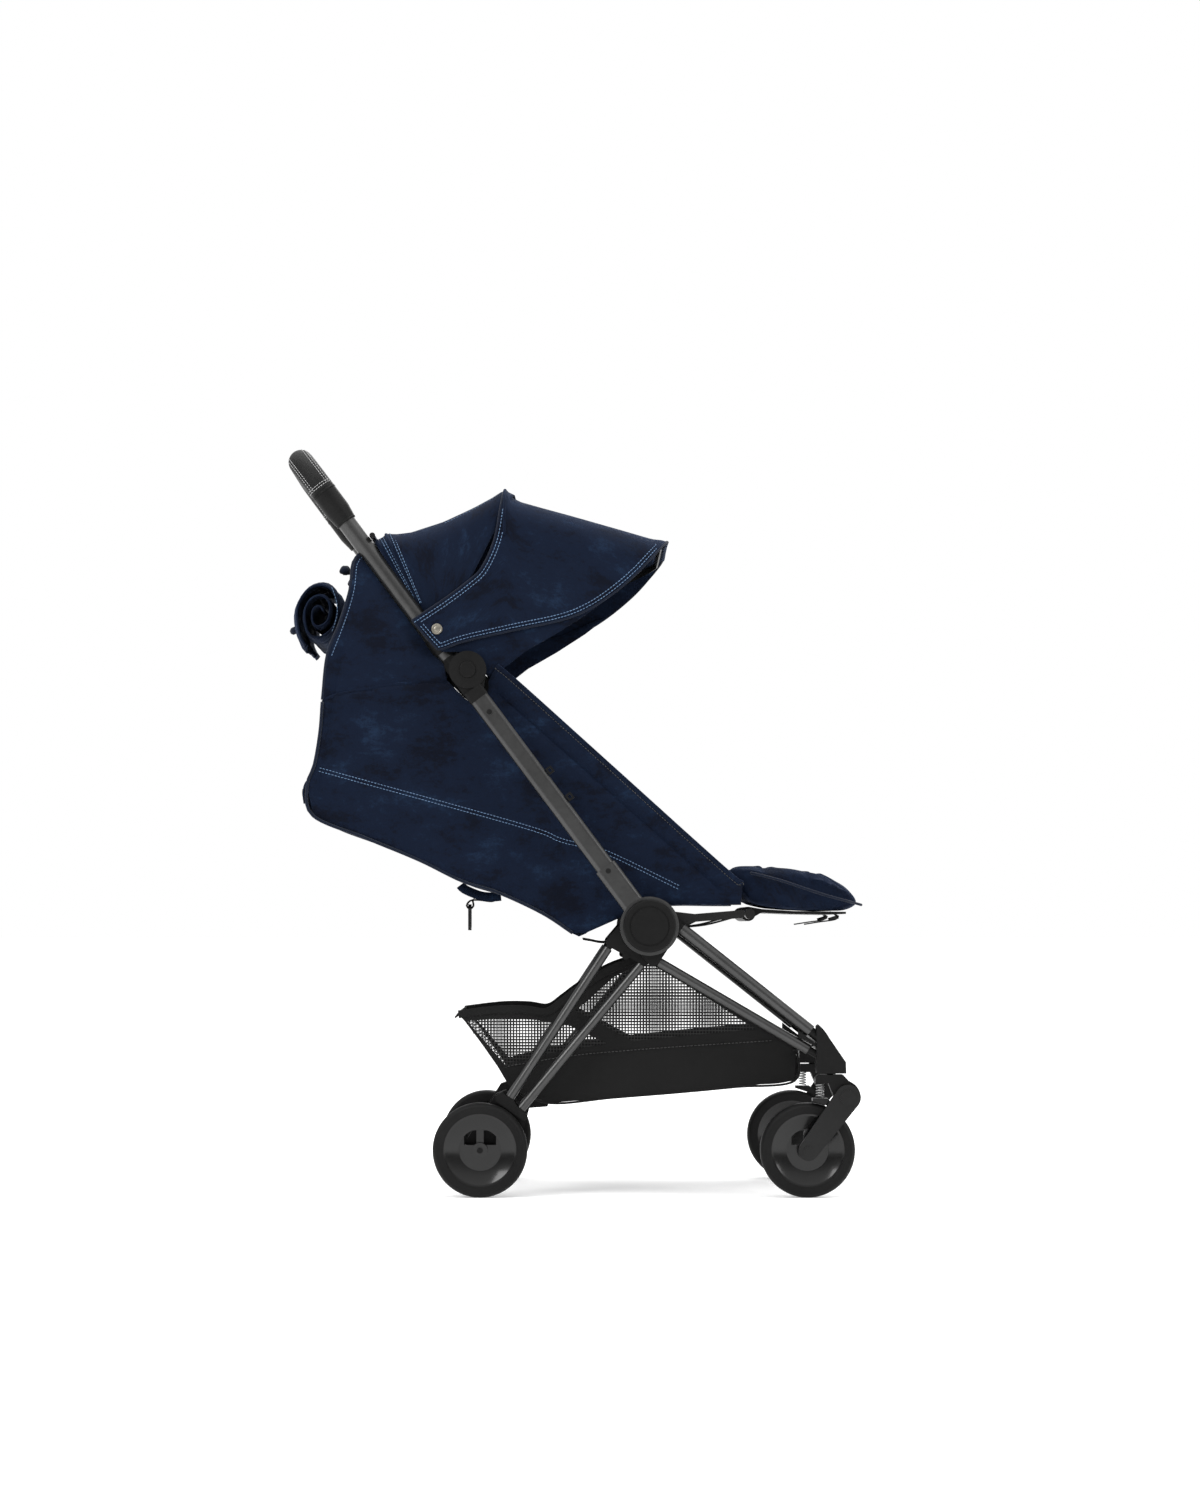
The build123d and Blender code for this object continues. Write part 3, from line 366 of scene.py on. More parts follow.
# ---------------------------------------------------------------- mesh helpers
def piece(name, points, faces, look, body=None, uvs=None, smooth=True):
    """A mesh piece from millimetre points; it rides on body, or is left free."""
    mesh = bpy.data.meshes.new(name)
    mesh.from_pydata([Vector(p) * MM for p in points], [], faces)
    layer = mesh.uv_layers.new(name="cloth")
    for loop in mesh.loops:
        p = points[loop.vertex_index]
        layer.data[loop.index].uv = uvs[loop.vertex_index] if uvs else ((p[0] + p[1]) * MM, p[2] * MM)
    mesh.materials.append(LOOKS[look])
    if smooth:
        mesh.shade_smooth()
    obj = bpy.data.objects.new(name, mesh)
    bpy.context.collection.objects.link(obj)
    if body:
        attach(obj, body)
    return obj


def thicken(obj, thickness, offset=0.0):
    made = obj.modifiers.new("thickness", "SOLIDIFY")
    made.thickness, made.offset, made.use_even_offset = thickness * MM, offset, False
    return obj


def faces_outward(obj):
    work = bmesh.new()
    work.from_mesh(obj.data)
    bmesh.ops.recalc_face_normals(work, faces=work.faces)
    work.to_mesh(obj.data)
    work.free()
    return obj


def lerp(a, b, t):
    return a + (b - a) * t


def ease(t):
    t = min(1.0, max(0.0, t))
    return t * t * (3.0 - 2.0 * t)


def spread_along(points, step, closed=False):
    """The same polyline with points about step apart, its corners kept."""
    made = []
    pairs = list(zip(points, points[1:] + points[:1])) if closed else list(zip(points, points[1:]))
    for a, b in pairs:
        a, b = Vector(a), Vector(b)
        count = max(1, round((b - a).length / step))
        made += [a.lerp(b, i / count) for i in range(count)]
    if not closed:
        made.append(Vector(points[-1]))
    return made


def curve_through(points, step, closed=False):
    """A smooth line through the points, with points about step apart."""
    given = [Vector(p) for p in points]
    count = len(given)
    rough = []
    for i in range(count if closed else count - 1):
        p0 = given[i - 1] if closed or i else given[0] * 2 - given[1]
        p1, p2 = given[i], given[(i + 1) % count]
        p3 = given[(i + 2) % count] if closed or i + 2 < count else given[-1] * 2 - given[-2]
        pieces = max(2, round((p2 - p1).length / step))
        for k in range(pieces):
            t = k / pieces
            rough.append(0.5 * (2 * p1 + (p2 - p0) * t + (2 * p0 - 5 * p1 + 4 * p2 - p3) * t * t
                                + (3 * p1 - p0 - 3 * p2 + p3) * t ** 3))
    if not closed:
        rough.append(given[-1].copy())
    return rough


def at_distances(line, distances):
    """Points and unit headings at given distances along a line of Vectors."""
    lengths = [0.0]
    for a, b in zip(line, line[1:]):
        lengths.append(lengths[-1] + (b - a).length)
    made, k = [], 0
    for wanted in distances:
        while k < len(line) - 2 and lengths[k + 1] < wanted:
            k += 1
        part = max(1e-9, lengths[k + 1] - lengths[k])
        made.append((line[k].lerp(line[k + 1], (wanted - lengths[k]) / part),
                     (line[k + 1] - line[k]).normalized()))
    return made, lengths[-1]


def line_length(line):
    return sum((b - a).length for a, b in zip(line, line[1:]))


def near_line(x, z, line):
    """Distance from a side-view point to a side-view polyline."""
    best = 1e9
    for (ax, az), (bx, bz) in zip(line, line[1:]):
        dx, dz = bx - ax, bz - az
        t = min(1.0, max(0.0, ((x - ax) * dx + (z - az) * dz) / max(1e-9, dx * dx + dz * dz)))
        best = min(best, math.hypot(x - ax - t * dx, z - az - t * dz))
    return best


def is_inside(x, z, outline):
    odd = False
    for (ax, az), (bx, bz) in zip(outline, outline[1:] + outline[:1]):
        if (az > z) != (bz > z) and x < (bx - ax) * (z - az) / (bz - az) + ax:
            odd = not odd
    return odd


def flat_net_points(outline, step, seams=()):
    """A triangulated side-view panel: its rim, rows beside its seams, and a staggered field of points."""
    rim = [(p.x, p.y) for p in spread_along([Vector((x, z, 0.0)) for x, z in outline], step, closed=True)]
    points = list(rim)
    shut = rim + rim[:1]
    for seam in seams:
        line = [Vector((x, z, 0.0)) for x, z in seam]
        spots, _ = at_distances(line, [i * step * 0.6 for i in range(int(line_length(line) / (step * 0.6)) + 1)])
        for place, heading in spots:
            for off in (-5.0, -2.0, 0.0, 2.0, 5.0):
                x, z = place.x - heading.y * off, place.y + heading.x * off
                if is_inside(x, z, outline) and near_line(x, z, shut) > 2.0:
                    points.append((x, z))
    xs, zs = [p[0] for p in outline], [p[1] for p in outline]
    rows = int((max(zs) - min(zs)) / (step * 0.87)) + 1
    for r in range(rows):
        z = min(zs) + r * step * 0.87
        x = min(xs) + (step / 2 if r % 2 else 0.0)
        while x < max(xs):
            if is_inside(x, z, outline) and near_line(x, z, shut) > step * 0.45:
                if all(near_line(x, z, seam) > 5.0 + step * 0.4 for seam in seams):
                    points.append((x, z))
            x += step
    count = len(rim)
    edges = [(i, (i + 1) % count) for i in range(count)]
    made = geometry.delaunay_2d_cdt([Vector(p) for p in points], edges, [list(range(count))], 1, 1e-4)
    return [(v.x, v.y) for v in made[0]], [tuple(f) for f in made[2]]


def side_panel(name, outline, across, hand, look, body=None, step=8.0, seams=()):
    """A panel in a side plane; across gives its distance from the middle plane at each point."""
    flat, faces = flat_net_points(outline, step, seams)
    points = [(x, hand * across(x, z), z) for x, z in flat]
    if hand > 0:
        faces = [f[::-1] for f in faces]
    return piece(name, points, faces, look, body, uvs=[(x * MM, z * MM) for x, z in flat])


def sheet_grid(name, rows, look, body=None, skip=None):
    """A sheet from rows of points, with its weave laid along it."""
    wide = len(rows[0])
    points = [p for row in rows for p in row]
    down, uvs = 0.0, []
    for i, row in enumerate(rows):
        if i:
            down += (Vector(row[wide // 2]) - Vector(rows[i - 1][wide // 2])).length
        out = 0.0
        for j, p in enumerate(row):
            if j:
                out += (Vector(p) - Vector(row[j - 1])).length
            uvs.append((out * MM, down * MM))
    faces = [
        (i * wide + j, i * wide + j + 1, (i + 1) * wide + j + 1, (i + 1) * wide + j)
        for i in range(len(rows) - 1) for j in range(wide - 1) if not (skip and skip(i, j))
    ]
    return piece(name, points, faces, look, body, uvs=uvs)


def sweep(name, path, section, look, body=None, up=None, closed=False, scale=None):
    """A section swept along a path. up holds a strap's outward direction, as a vector or a function of the point."""
    path = [Vector(p) for p in path]
    count, sides = len(path), len(section)
    points, uvs, run = [], [], 0.0
    turn = None
    for i, p in enumerate(path):
        before = path[i - 1] if closed or i else p
        after = path[(i + 1) % count] if closed or i + 1 < count else p
        heading = (after - before).normalized()
        if up is not None:
            lift = up(p) if callable(up) else Vector(up)
            across = heading.cross(lift).normalized()
        elif turn is None:
            across = heading.orthogonal().normalized()
        else:
            across = (turn - heading * turn.dot(heading)).normalized()
        turn = across
        lift = across.cross(heading).normalized()
        grow = scale(i / max(1, count - 1)) if scale else 1.0
        if i:
            run += (p - path[i - 1]).length
        for k, (a, b) in enumerate(section):
            points.append(tuple(p + across * (a * grow) + lift * (b * grow)))
            uvs.append((run * MM, (a + b) * MM))
    faces = []
    for i in range(count if closed else count - 1):
        j = (i + 1) % count
        for k in range(sides):
            m = (k + 1) % sides
            faces.append((i * sides + k, i * sides + m, j * sides + m, j * sides + k))
    if not closed:
        faces += [tuple(range(sides))[::-1], tuple((count - 1) * sides + k for k in range(sides))]
    return faces_outward(piece(name, points, faces, look, body, uvs=uvs))


def ring_section(radius, sides=8):
    return [(radius * math.cos(2 * math.pi * k / sides),
             radius * math.sin(2 * math.pi * k / sides)) for k in range(sides)]


def strap_section(width, thick):
    """A flat strap's section with softened edges and a slightly raised selvedge."""
    w, t = width / 2, thick / 2
    return [(-w, 0.0), (-w + 0.5, t * 1.15), (-w + 1.6, t * 1.15), (-w + 2.4, t), (w - 2.4, t),
            (w - 1.6, t * 1.15),
            (w - 0.5, t * 1.15), (w, 0.0), (w - 0.5, -t), (-w + 0.5, -t)]


def lathe(name, place, profile, look, body, axis="Y", hand=-1, sides=36):
    """A turned part: profile is (radius, distance outward) pairs from its centre on the axis."""
    points, faces = [], []
    for r, out in profile:
        for k in range(sides):
            a = 2 * math.pi * k / sides
            if axis == "Y":
                points.append((place[0] + r * math.cos(a), place[1] + hand * out, place[2] + r * math.sin(a)))
            elif axis == "X":
                points.append((place[0] + hand * out, place[1] + r * math.cos(a), place[2] + r * math.sin(a)))
            else:
                points.append((place[0] + r * math.cos(a), place[1] + r * math.sin(a), place[2] + hand * out))
    for i in range(len(profile) - 1):
        for k in range(sides):
            m = (k + 1) % sides
            faces.append((i * sides + k, i * sides + m, (i + 1) * sides + m, (i + 1) * sides + k))
    faces += [tuple(range(sides))[::-1], tuple((len(profile) - 1) * sides + k for k in range(sides))]
    return faces_outward(piece(name, points, faces, look, body))


STITCH = ((-1.0, -0.45, 0.4), (-0.6, 0.15, 1.0), (0.0, 0.35, 1.05), (0.6, 0.15, 1.0), (1.0, -0.45, 0.4))


def stitches(name, lines, look, body=None, pitch=4.6, length=3.4, radius=0.5):
    """Rows of single stitches. Each line is (points, outward), outward a vector or a function of the point."""
    points, faces = [], []
    sides = 6
    for line, outward in lines:
        line = [Vector(p) for p in line]
        total = line_length(line)
        spots, _ = at_distances(line, [pitch * (k + 0.5) for k in range(int(total / pitch))])
        for place, heading in spots:
            lift = (outward(place) if callable(outward) else Vector(outward)).normalized()
            across = heading.cross(lift).normalized()
            base = len(points)
            for t, high, wide in STITCH:
                middle = place + heading * (t * length / 2) + lift * (high * radius)
                for k in range(sides):
                    a = 2 * math.pi * k / sides
                    points.append(tuple(middle + (across * math.cos(a) + lift * math.sin(a)) * (radius * wide)))
            for i in range(len(STITCH) - 1):
                for k in range(sides):
                    m = (k + 1) % sides
                    faces.append((base + i * sides + k, base + i * sides + m,
                                  base + (i + 1) * sides + m, base + (i + 1) * sides + k))
            faces.append(tuple(base + k for k in range(sides))[::-1])
            faces.append(tuple(base + (len(STITCH) - 1) * sides + k for k in range(sides)))
    return faces_outward(piece(name, points, faces, look, body))


def beside(line, off):
    """A side-view polyline moved sideways by off."""
    made = []
    for i, (x, z) in enumerate(line):
        ax, az = line[max(0, i - 1)]
        bx, bz = line[min(len(line) - 1, i + 1)]
        run = max(1e-9, math.hypot(bx - ax, bz - az))
        made.append((x - (bz - az) / run * off, z + (bx - ax) / run * off))
    return made


def smooth_side(line, step=6.0):
    return [(p.x, p.z) for p in curve_through([(x, 0.0, z) for x, z in line], step)]


def ripple(x, y, z, size, seed=0.0):
    return noise.noise(Vector((x / size + seed, y / size - seed, z / size + 2.0 * seed)))


def dress(names, look):
    """Give carried-over CAD nodes a detailed look."""
    for name in names:
        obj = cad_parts[name]
        if not obj.data.materials:
            obj.data.materials.append(LOOKS[look])
        for slot in obj.material_slots:
            slot.material = LOOKS[look]


# ---------------------------------------------------------------- seat shell
BACK_PATH = [(-351.0, 681.0), (-354.3, 638.5), (-362.0, 594.0), (-372.0, 565.0), (-363.5, 524.0),
             (-290.0, 493.0),
             (-217.5, 463.0), (-158.0, 434.0), (-108.0, 418.0), (-48.0, 390.0), (-6.0, 362.5), (12.0, 362.5),
             (60.0, 399.5), (226.0, 402.0)]
WAIST_SEAM = [(-351.0, 681.0), (-331.0, 691.0), (-252.0, 705.0), (-180.0, 711.0)]
BACK_SEAM = [(-320.0, 770.0), (-335.0, 694.0), (-337.0, 681.0), (-352.0, 589.0), (-356.0, 560.0)]
DOUBLE_SEAM = [(-356.0, 588.0), (-78.0, 511.0), (-21.0, 490.0), (39.0, 474.0), (143.0, 424.0)]
FRONT_FOLD = [(-105.0, 690.0), (196.0, 423.0)]
FRONT_EDGE = [(-111.0, 731.0), (-60.0, 687.0), (195.0, 457.0), (228.0, 431.0)]
KNOB_CLEAR = 21.5
HUB_CLEAR = 37.0


def arc_round(spot, radius, start, end, count=9):
    """Side-view points on an arc round a spot, angles in degrees."""
    return [(spot.x + radius * math.cos(math.radians(lerp(start, end, i / (count - 1)))),
             spot.z + radius * math.sin(math.radians(lerp(start, end, i / (count - 1))))) for i in range(count)]


SHELL_OUTLINE = (
    WAIST_SEAM + arc_round(KNOB, KNOB_CLEAR, 205.0, 375.0, 12)
    + FRONT_EDGE + [(226.0, 403.0), (140.0, 401.5)]
    + arc_round(HUB, HUB_CLEAR, 52.0, 158.0, 8) + [(12.0, 362.5)] + BACK_PATH[-4:0:-1]
)


def shell_half(x, z):
    """Distance of the seat's side wall from the middle plane: drape, seam grooves and the raised front band."""
    soft = ease((math.hypot(x - HUB.x, z - HUB.z) - 60.0) / 90.0)
    folds = 2.4 * ripple(x * 0.8 + z * 0.5, 0.0, z * 1.5, 95.0, 3.1) + 0.9 * ripple(x, 0.0, z * 1.8, 34.0, 7.7)
    out = SHELL_Y - 2.2 + soft * folds
    for seam, depth in ((WAIST_SEAM, 1.6), (BACK_SEAM, 1.5), (FRONT_FOLD, 2.2)):
        near = near_line(x, z, seam)
        out -= depth * math.exp(-(near / 2.6) ** 2)
        out += 0.7 * math.exp(-((near - 6.0) / 4.0) ** 2)
    out -= 0.8 * math.exp(-(near_line(x, z, DOUBLE_SEAM) / 4.0) ** 2)
    band = near_line(x, z, FRONT_EDGE)
    out += 1.2 * (1.0 - ease((band - 20.0) / 8.0))
    return min(out, SHELL_Y + 0.9)


def on_shell(line, hand, proud=0.9):
    return [(x, hand * (shell_half(x, z) + proud), z) for x, z in line]


def make_seat():
    for side, hand in SIDES:
        wall = side_panel(f"seat_side_{side}", SHELL_OUTLINE, shell_half, hand, "denim", "main_frame",
                          seams=(BACK_SEAM, DOUBLE_SEAM, FRONT_FOLD))
        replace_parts(thicken(wall, 1.6), "seat_shell")
        rows = []
        for off in (-2.4, 2.4):
            run = beside(smooth_side(DOUBLE_SEAM), off)
            rows.append((on_shell([p for p in run if math.hypot(p[0] - HUB.x, p[1] - HUB.z) > 30], hand),
                         (0, hand, 0)))
        edge = beside(smooth_side(FRONT_EDGE), -4.0)
        rows.append((on_shell(edge, hand), (0, hand, 0)))
        stitches(f"seat_seam_thread_{side}", rows[:2], "blue_thread", "main_frame")
        stitches(f"seat_edge_thread_{side}", rows[2:], "black_thread", "main_frame")
        piping = [(x, hand * (SHELL_Y - 1.4), z) for x, z in smooth_side(BACK_PATH[:11], 9.0)]
        sweep(f"seat_piping_{side}", piping, ring_section(2.3), "binding", "main_frame")
        front = [(x, hand * (shell_half(x, z) - 0.3), z) for x, z in smooth_side(FRONT_EDGE, 9.0)]
        sweep(f"seat_front_binding_{side}", front, strap_section(7.0, 3.4), "denim", "main_frame",
              up=(0, hand, 0))
        seam = [(x, hand * (shell_half(x, z) + 0.6), z) for x, z in smooth_side(WAIST_SEAM, 7.0)]
        sweep(f"waist_binding_{side}", seam, strap_section(4.0, 1.6), "denim", "main_frame", up=(0, hand, 0))

    path = [(p.x, p.z) for p in curve_through([(x, 0.0, z) for x, z in BACK_PATH], 9.0)]
    rows = []
    for i, (x, z) in enumerate(path):
        (ax, az), (bx, bz) = path[max(0, i - 1)], path[min(len(path) - 1, i + 1)]
        run = math.hypot(bx - ax, bz - az)
        nx, nz = -(bz - az) / run, (bx - ax) / run
        row = []
        for j in range(41):
            across = -1.0 + j / 20.0
            y = across * (SHELL_Y - 1.6)
            belly = 1.0 - abs(across) ** 4
            sag = 5.0 * belly + 2.0 * ripple(x, y, z, 70.0, 5.0) * belly
            sag += 1.2 * math.exp(-((abs(y) - 118.0) / 3.0) ** 2)
            row.append((x + nx * sag, y, z + nz * sag))
        rows.append(row)
    floor = sheet_grid("seat_back_sling", rows, "denim", "main_frame")
    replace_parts(thicken(floor, 1.6), "seat_shell")
    sling_rows = []
    for y in (-121.0, -116.0, 116.0, 121.0):
        j = round((y / (SHELL_Y - 1.6) + 1.0) * 20.0)
        line = []
        for i, row in enumerate(rows[:-6]):
            a, b = Vector(row[j - 1]), Vector(row[j])
            share = (y - a.y) / (b.y - a.y)
            (ax, az), (bx, bz) = path[max(0, i - 1)], path[min(len(path) - 1, i + 1)]
            run = math.hypot(bx - ax, bz - az)
            line.append(a.lerp(b, share) + Vector(((bz - az) / run, 0.0, -(bx - ax) / run)) * 1.0)
        sling_rows.append((line, lambda p: Vector((-0.7, 0.0, -0.7))))
    stitches("seat_back_thread", sling_rows, "blue_thread", "main_frame")

    # the corner tab and its snap on each side
    for side, hand in SIDES:
        tab = [(-369.0, hand * 160.0, 574.0), (-375.0, hand * 161.0, 566.0), (-377.0, hand * 161.0, 554.0),
               (-375.5, hand * 160.5, 541.0)]
        sweep(f"corner_tab_{side}", curve_through(tab, 3.0), strap_section(16.0, 2.2), "denim", "main_frame",
              up=(-1, 0, 0))
        snap_at("corner_snap_" + side, (-377.5, hand * 161.0, 556.0), 5.5, "main_frame", axis="X", hand=-1)


def snap_at(name, place, radius, body, axis="Y", hand=-1):
    """A pressed snap cap: a rolled rim, a shallow dish and a small centre boss."""
    profile = [(radius * 0.94, -0.8), (radius, 0.2), (radius * 0.96, 1.0), (radius * 0.84, 1.5),
               (radius * 0.72, 1.2),
               (radius * 0.62, 0.9), (radius * 0.50, 1.0), (radius * 0.42, 1.4), (radius * 0.28, 1.6),
               (radius * 0.1, 1.7)]
    return lathe(name, place, profile, "antique", body, axis=axis, hand=hand, sides=40)


# ---------------------------------------------------------------- back curtain with its window
CURTAIN_BACK = [(-351.0, 684.0), (-344.0, 746.0), (-327.0, 790.0), (-313.0, 836.0), (-309.0, 874.0),
                (-296.0, 892.0)]
TUBE_SIDE = 9.0


def tube_hug(x, z, free):
    """Half width beside the handle tube: the cloth closes in on the tube and stands free away from it."""
    away = abs(frame_offset(x, z)) - TUBE_SIDE
    close = ease((z - 716.0) / 34.0)
    return lerp(free, lerp(HANDLE_Y + 2.0, free, ease(away / 34.0)), close)


def curtain_half(x, z):
    folds = 1.6 * ripple(x, 0.0, z * 0.7, 60.0, 11.0) + 0.7 * ripple(x, 0.0, z, 24.0, 2.0)
    out = tube_hug(x, z, SHELL_Y - 2.4) + folds
    near = near_line(x, z, [(-312.0, 836.0), (-320.0, 770.0), (-335.0, 694.0)])
    return out - 1.4 * math.exp(-(near / 2.6) ** 2) + 0.6 * math.exp(-((near - 6.0) / 4.0) ** 2)


def make_curtain():
    tube_line = [along(run, -TUBE_SIDE) for run in (648.0, 600.0, 550.0, 500.0, 462.0)]
    outline = CURTAIN_BACK + [(-293.0, 897.0)] + tube_line + [(-180.0, 714.0), (-178.0, 706.0), (-252.0, 700.0),
                                                               (-331.0, 686.0)]
    for side, hand in SIDES:
        wall = side_panel(f"curtain_side_{side}", outline, curtain_half, hand, "denim",
                          seams=([(-312.0, 836.0), (-320.0, 770.0), (-335.0, 694.0)],))
        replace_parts(thicken(wall, 1.5), "back_curtain")
        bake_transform(wall)
        path = [(x, hand * (curtain_half(x, z) - 0.6), z) for x, z in smooth_side(CURTAIN_BACK, 8.0)]
        binding = sweep(f"curtain_piping_{side}", path, ring_section(2.2), "binding")
        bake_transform(binding)
        line = [(x, hand * (curtain_half(x, z) + 0.9), z) for x,
                z in smooth_side(beside(CURTAIN_BACK[1:], -6.0), 6.0)]
        thread = stitches(f"curtain_thread_{side}", [(line, (0, hand, 0))], "blue_thread")
        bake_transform(thread)

    path = smooth_side(CURTAIN_BACK, 7.0)
    count = len(path)
    window_low, window_high, window_half = 5, count - 9, 118.0
    rows = []
    for i, (x, z) in enumerate(path):
        row = []
        for j in range(49):
            y = (-1.0 + j / 24.0) * (curtain_half(x, z) - 0.8)
            belly = 1.0 - abs(y / 170.0) ** 3
            row.append((x + 2.5 * belly + 0.9 * ripple(x, y, z, 40.0, 9.0) * belly, y, z))
        rows.append(row)

    def in_window(i, j):
        return window_low <= i < window_high and abs(rows[i][j][1]) < window_half and abs(rows[i][j + 1][1]) < window_half

    frame_cloth = sheet_grid("curtain_back", rows, "denim", skip=in_window)
    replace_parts(thicken(frame_cloth, 1.5), "back_curtain")
    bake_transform(frame_cloth)

    window = rows[window_low:window_high + 1]
    net_rows = []
    for row in window:
        inside = [p for p in row if abs(p[1]) < window_half + 8.0]
        net_rows.append(inside)
    wide = min(len(r) for r in net_rows)
    net_rows = [r[(len(r) - wide) // 2:(len(r) - wide) // 2 + wide] for r in net_rows]
    net = net_from("window_net", net_rows, 5.0)
    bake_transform(net)


def net_from(name, rows, pitch, body=None):
    """Knotted net over a rectangular patch of a sheet: narrow bars with a hole in every cell."""
    high, wide = len(rows), len(rows[0])

    def at(u, v):
        i, j = min(high - 2, int(u)), min(wide - 2, int(v))
        a = Vector(rows[i][j]).lerp(Vector(rows[i][j + 1]), v - j)
        b = Vector(rows[i + 1][j]).lerp(Vector(rows[i + 1][j + 1]), v - j)
        return a.lerp(b, u - i)

    tall = line_length([Vector(r[wide // 2]) for r in rows])
    broad = line_length([Vector(p) for p in rows[high // 2]])
    cells_u, cells_v = max(2, round(tall / pitch)), max(2, round(broad / pitch))
    points, faces, uvs, cache = [], [], [], {}

    def vertex(u, v):
        key = (round(u, 4), round(v, 4))
        if key not in cache:
            cache[key] = len(points)
            points.append(tuple(at(u / cells_u * (high - 1.001), v / cells_v * (wide - 1.001))))
            uvs.append((v * pitch * MM, u * pitch * MM))
        return cache[key]

    bar = 0.17
    for i in range(cells_u):
        for j in range(cells_v):
            outer = [vertex(i, j), vertex(i, j + 1), vertex(i + 1, j + 1), vertex(i + 1, j)]
            inner = [vertex(i + bar, j + bar), vertex(i + bar, j + 1 - bar), vertex(i + 1 - bar, j + 1 - bar),
                     vertex(i + 1 - bar, j + bar)]
            for k in range(4):
                m = (k + 1) % 4
                faces.append((outer[k], outer[m], inner[m], inner[k]))
    return piece(name, points, faces, "net", body, uvs=uvs)


# ---------------------------------------------------------------- canopy
TOP_LINE = [(-270.0, 914.0), (-264.0, 920.5), (-256.0, 917.5), (-230.0, 921.0), (-184.0, 936.0),
            (-140.0, 956.0),
            (-110.0, 972.5), (-102.0, 978.5), (-97.0, 978.0), (-90.0, 968.5), (-79.0, 962.5), (12.0, 937.5),
            (104.0, 911.0), (117.0, 909.5), (126.0, 907.0)]
FLAP_EDGE = [(-227.0, 793.0), (-184.0, 821.5), (-150.0, 847.0), (-131.0, 866.0), (-114.0, 904.0),
             (-105.5, 950.0),
             (-101.0, 978.0)]
FLAP_FOOT = [(-227.0, 793.0), (-219.0, 783.0), (-196.0, 757.0), (-187.0, 753.0), (-156.0, 763.5),
             (-93.0, 778.0), (-22.5, 793.0),
             (16.0, 808.0), (50.0, 830.0), (83.0, 858.0), (108.0, 885.0), (122.0, 901.0), (126.0, 906.0)]


def height_at(line, x):
    """Height of a side-view line at x, for a line whose x only grows."""
    if x <= line[0][0]:
        return line[0][1]
    for (ax, az), (bx, bz) in zip(line, line[1:]):
        if x <= bx:
            return lerp(az, bz, (x - ax) / max(1e-9, bx - ax))
    return line[-1][1]


def canopy_section(q, top, half, corner):
    """A point (y, z) at a run q from the middle of the roof, over the rounded corner and down the side."""
    roof = half - corner
    turn = corner * math.pi / 2.0
    if q <= roof:
        return q, top - 2.5 * (q / roof) ** 2
    if q <= roof + turn:
        a = (q - roof) / corner
        return roof + corner * math.sin(a), top - 2.5 - (corner - 2.5) * (1.0 - math.cos(a))
    return half, top - corner - (q - roof - turn)


def run_to(z, top, half, corner):
    """The run q at which the section comes down to z."""
    roof = half - corner
    turn = corner * math.pi / 2.0
    drop = top - z
    if drop <= 2.5:
        return roof * math.sqrt(max(0.0, drop) / 2.5)
    if drop < corner:
        return roof + corner * math.acos(1.0 - (drop - 2.5) / (corner - 2.5))
    return roof + turn + drop - corner


def canopy_point(x, z_or_q, hand, top, proud, by_run=False):
    q = z_or_q if by_run else run_to(z_or_q, top, CANOPY_Y, CANOPY_CORNER)
    y, z = canopy_section(q, top, CANOPY_Y, CANOPY_CORNER)
    side = ease((q - 90.0) / 60.0)
    y += proud * side + side * (1.3 * ripple(x, 0.0, z, 70.0, 21.0) + 0.5 * ripple(x, hand, z, 26.0, 4.0))
    z += proud * (1.0 - side) + 1.2 * (1.0 - side) * ripple(x, hand * y, 0.0, 60.0, 8.0)
    return Vector((x, hand * y, z))


def follow_front(obj):
    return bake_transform(obj)


def follow_rear(obj):
    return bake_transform(obj)


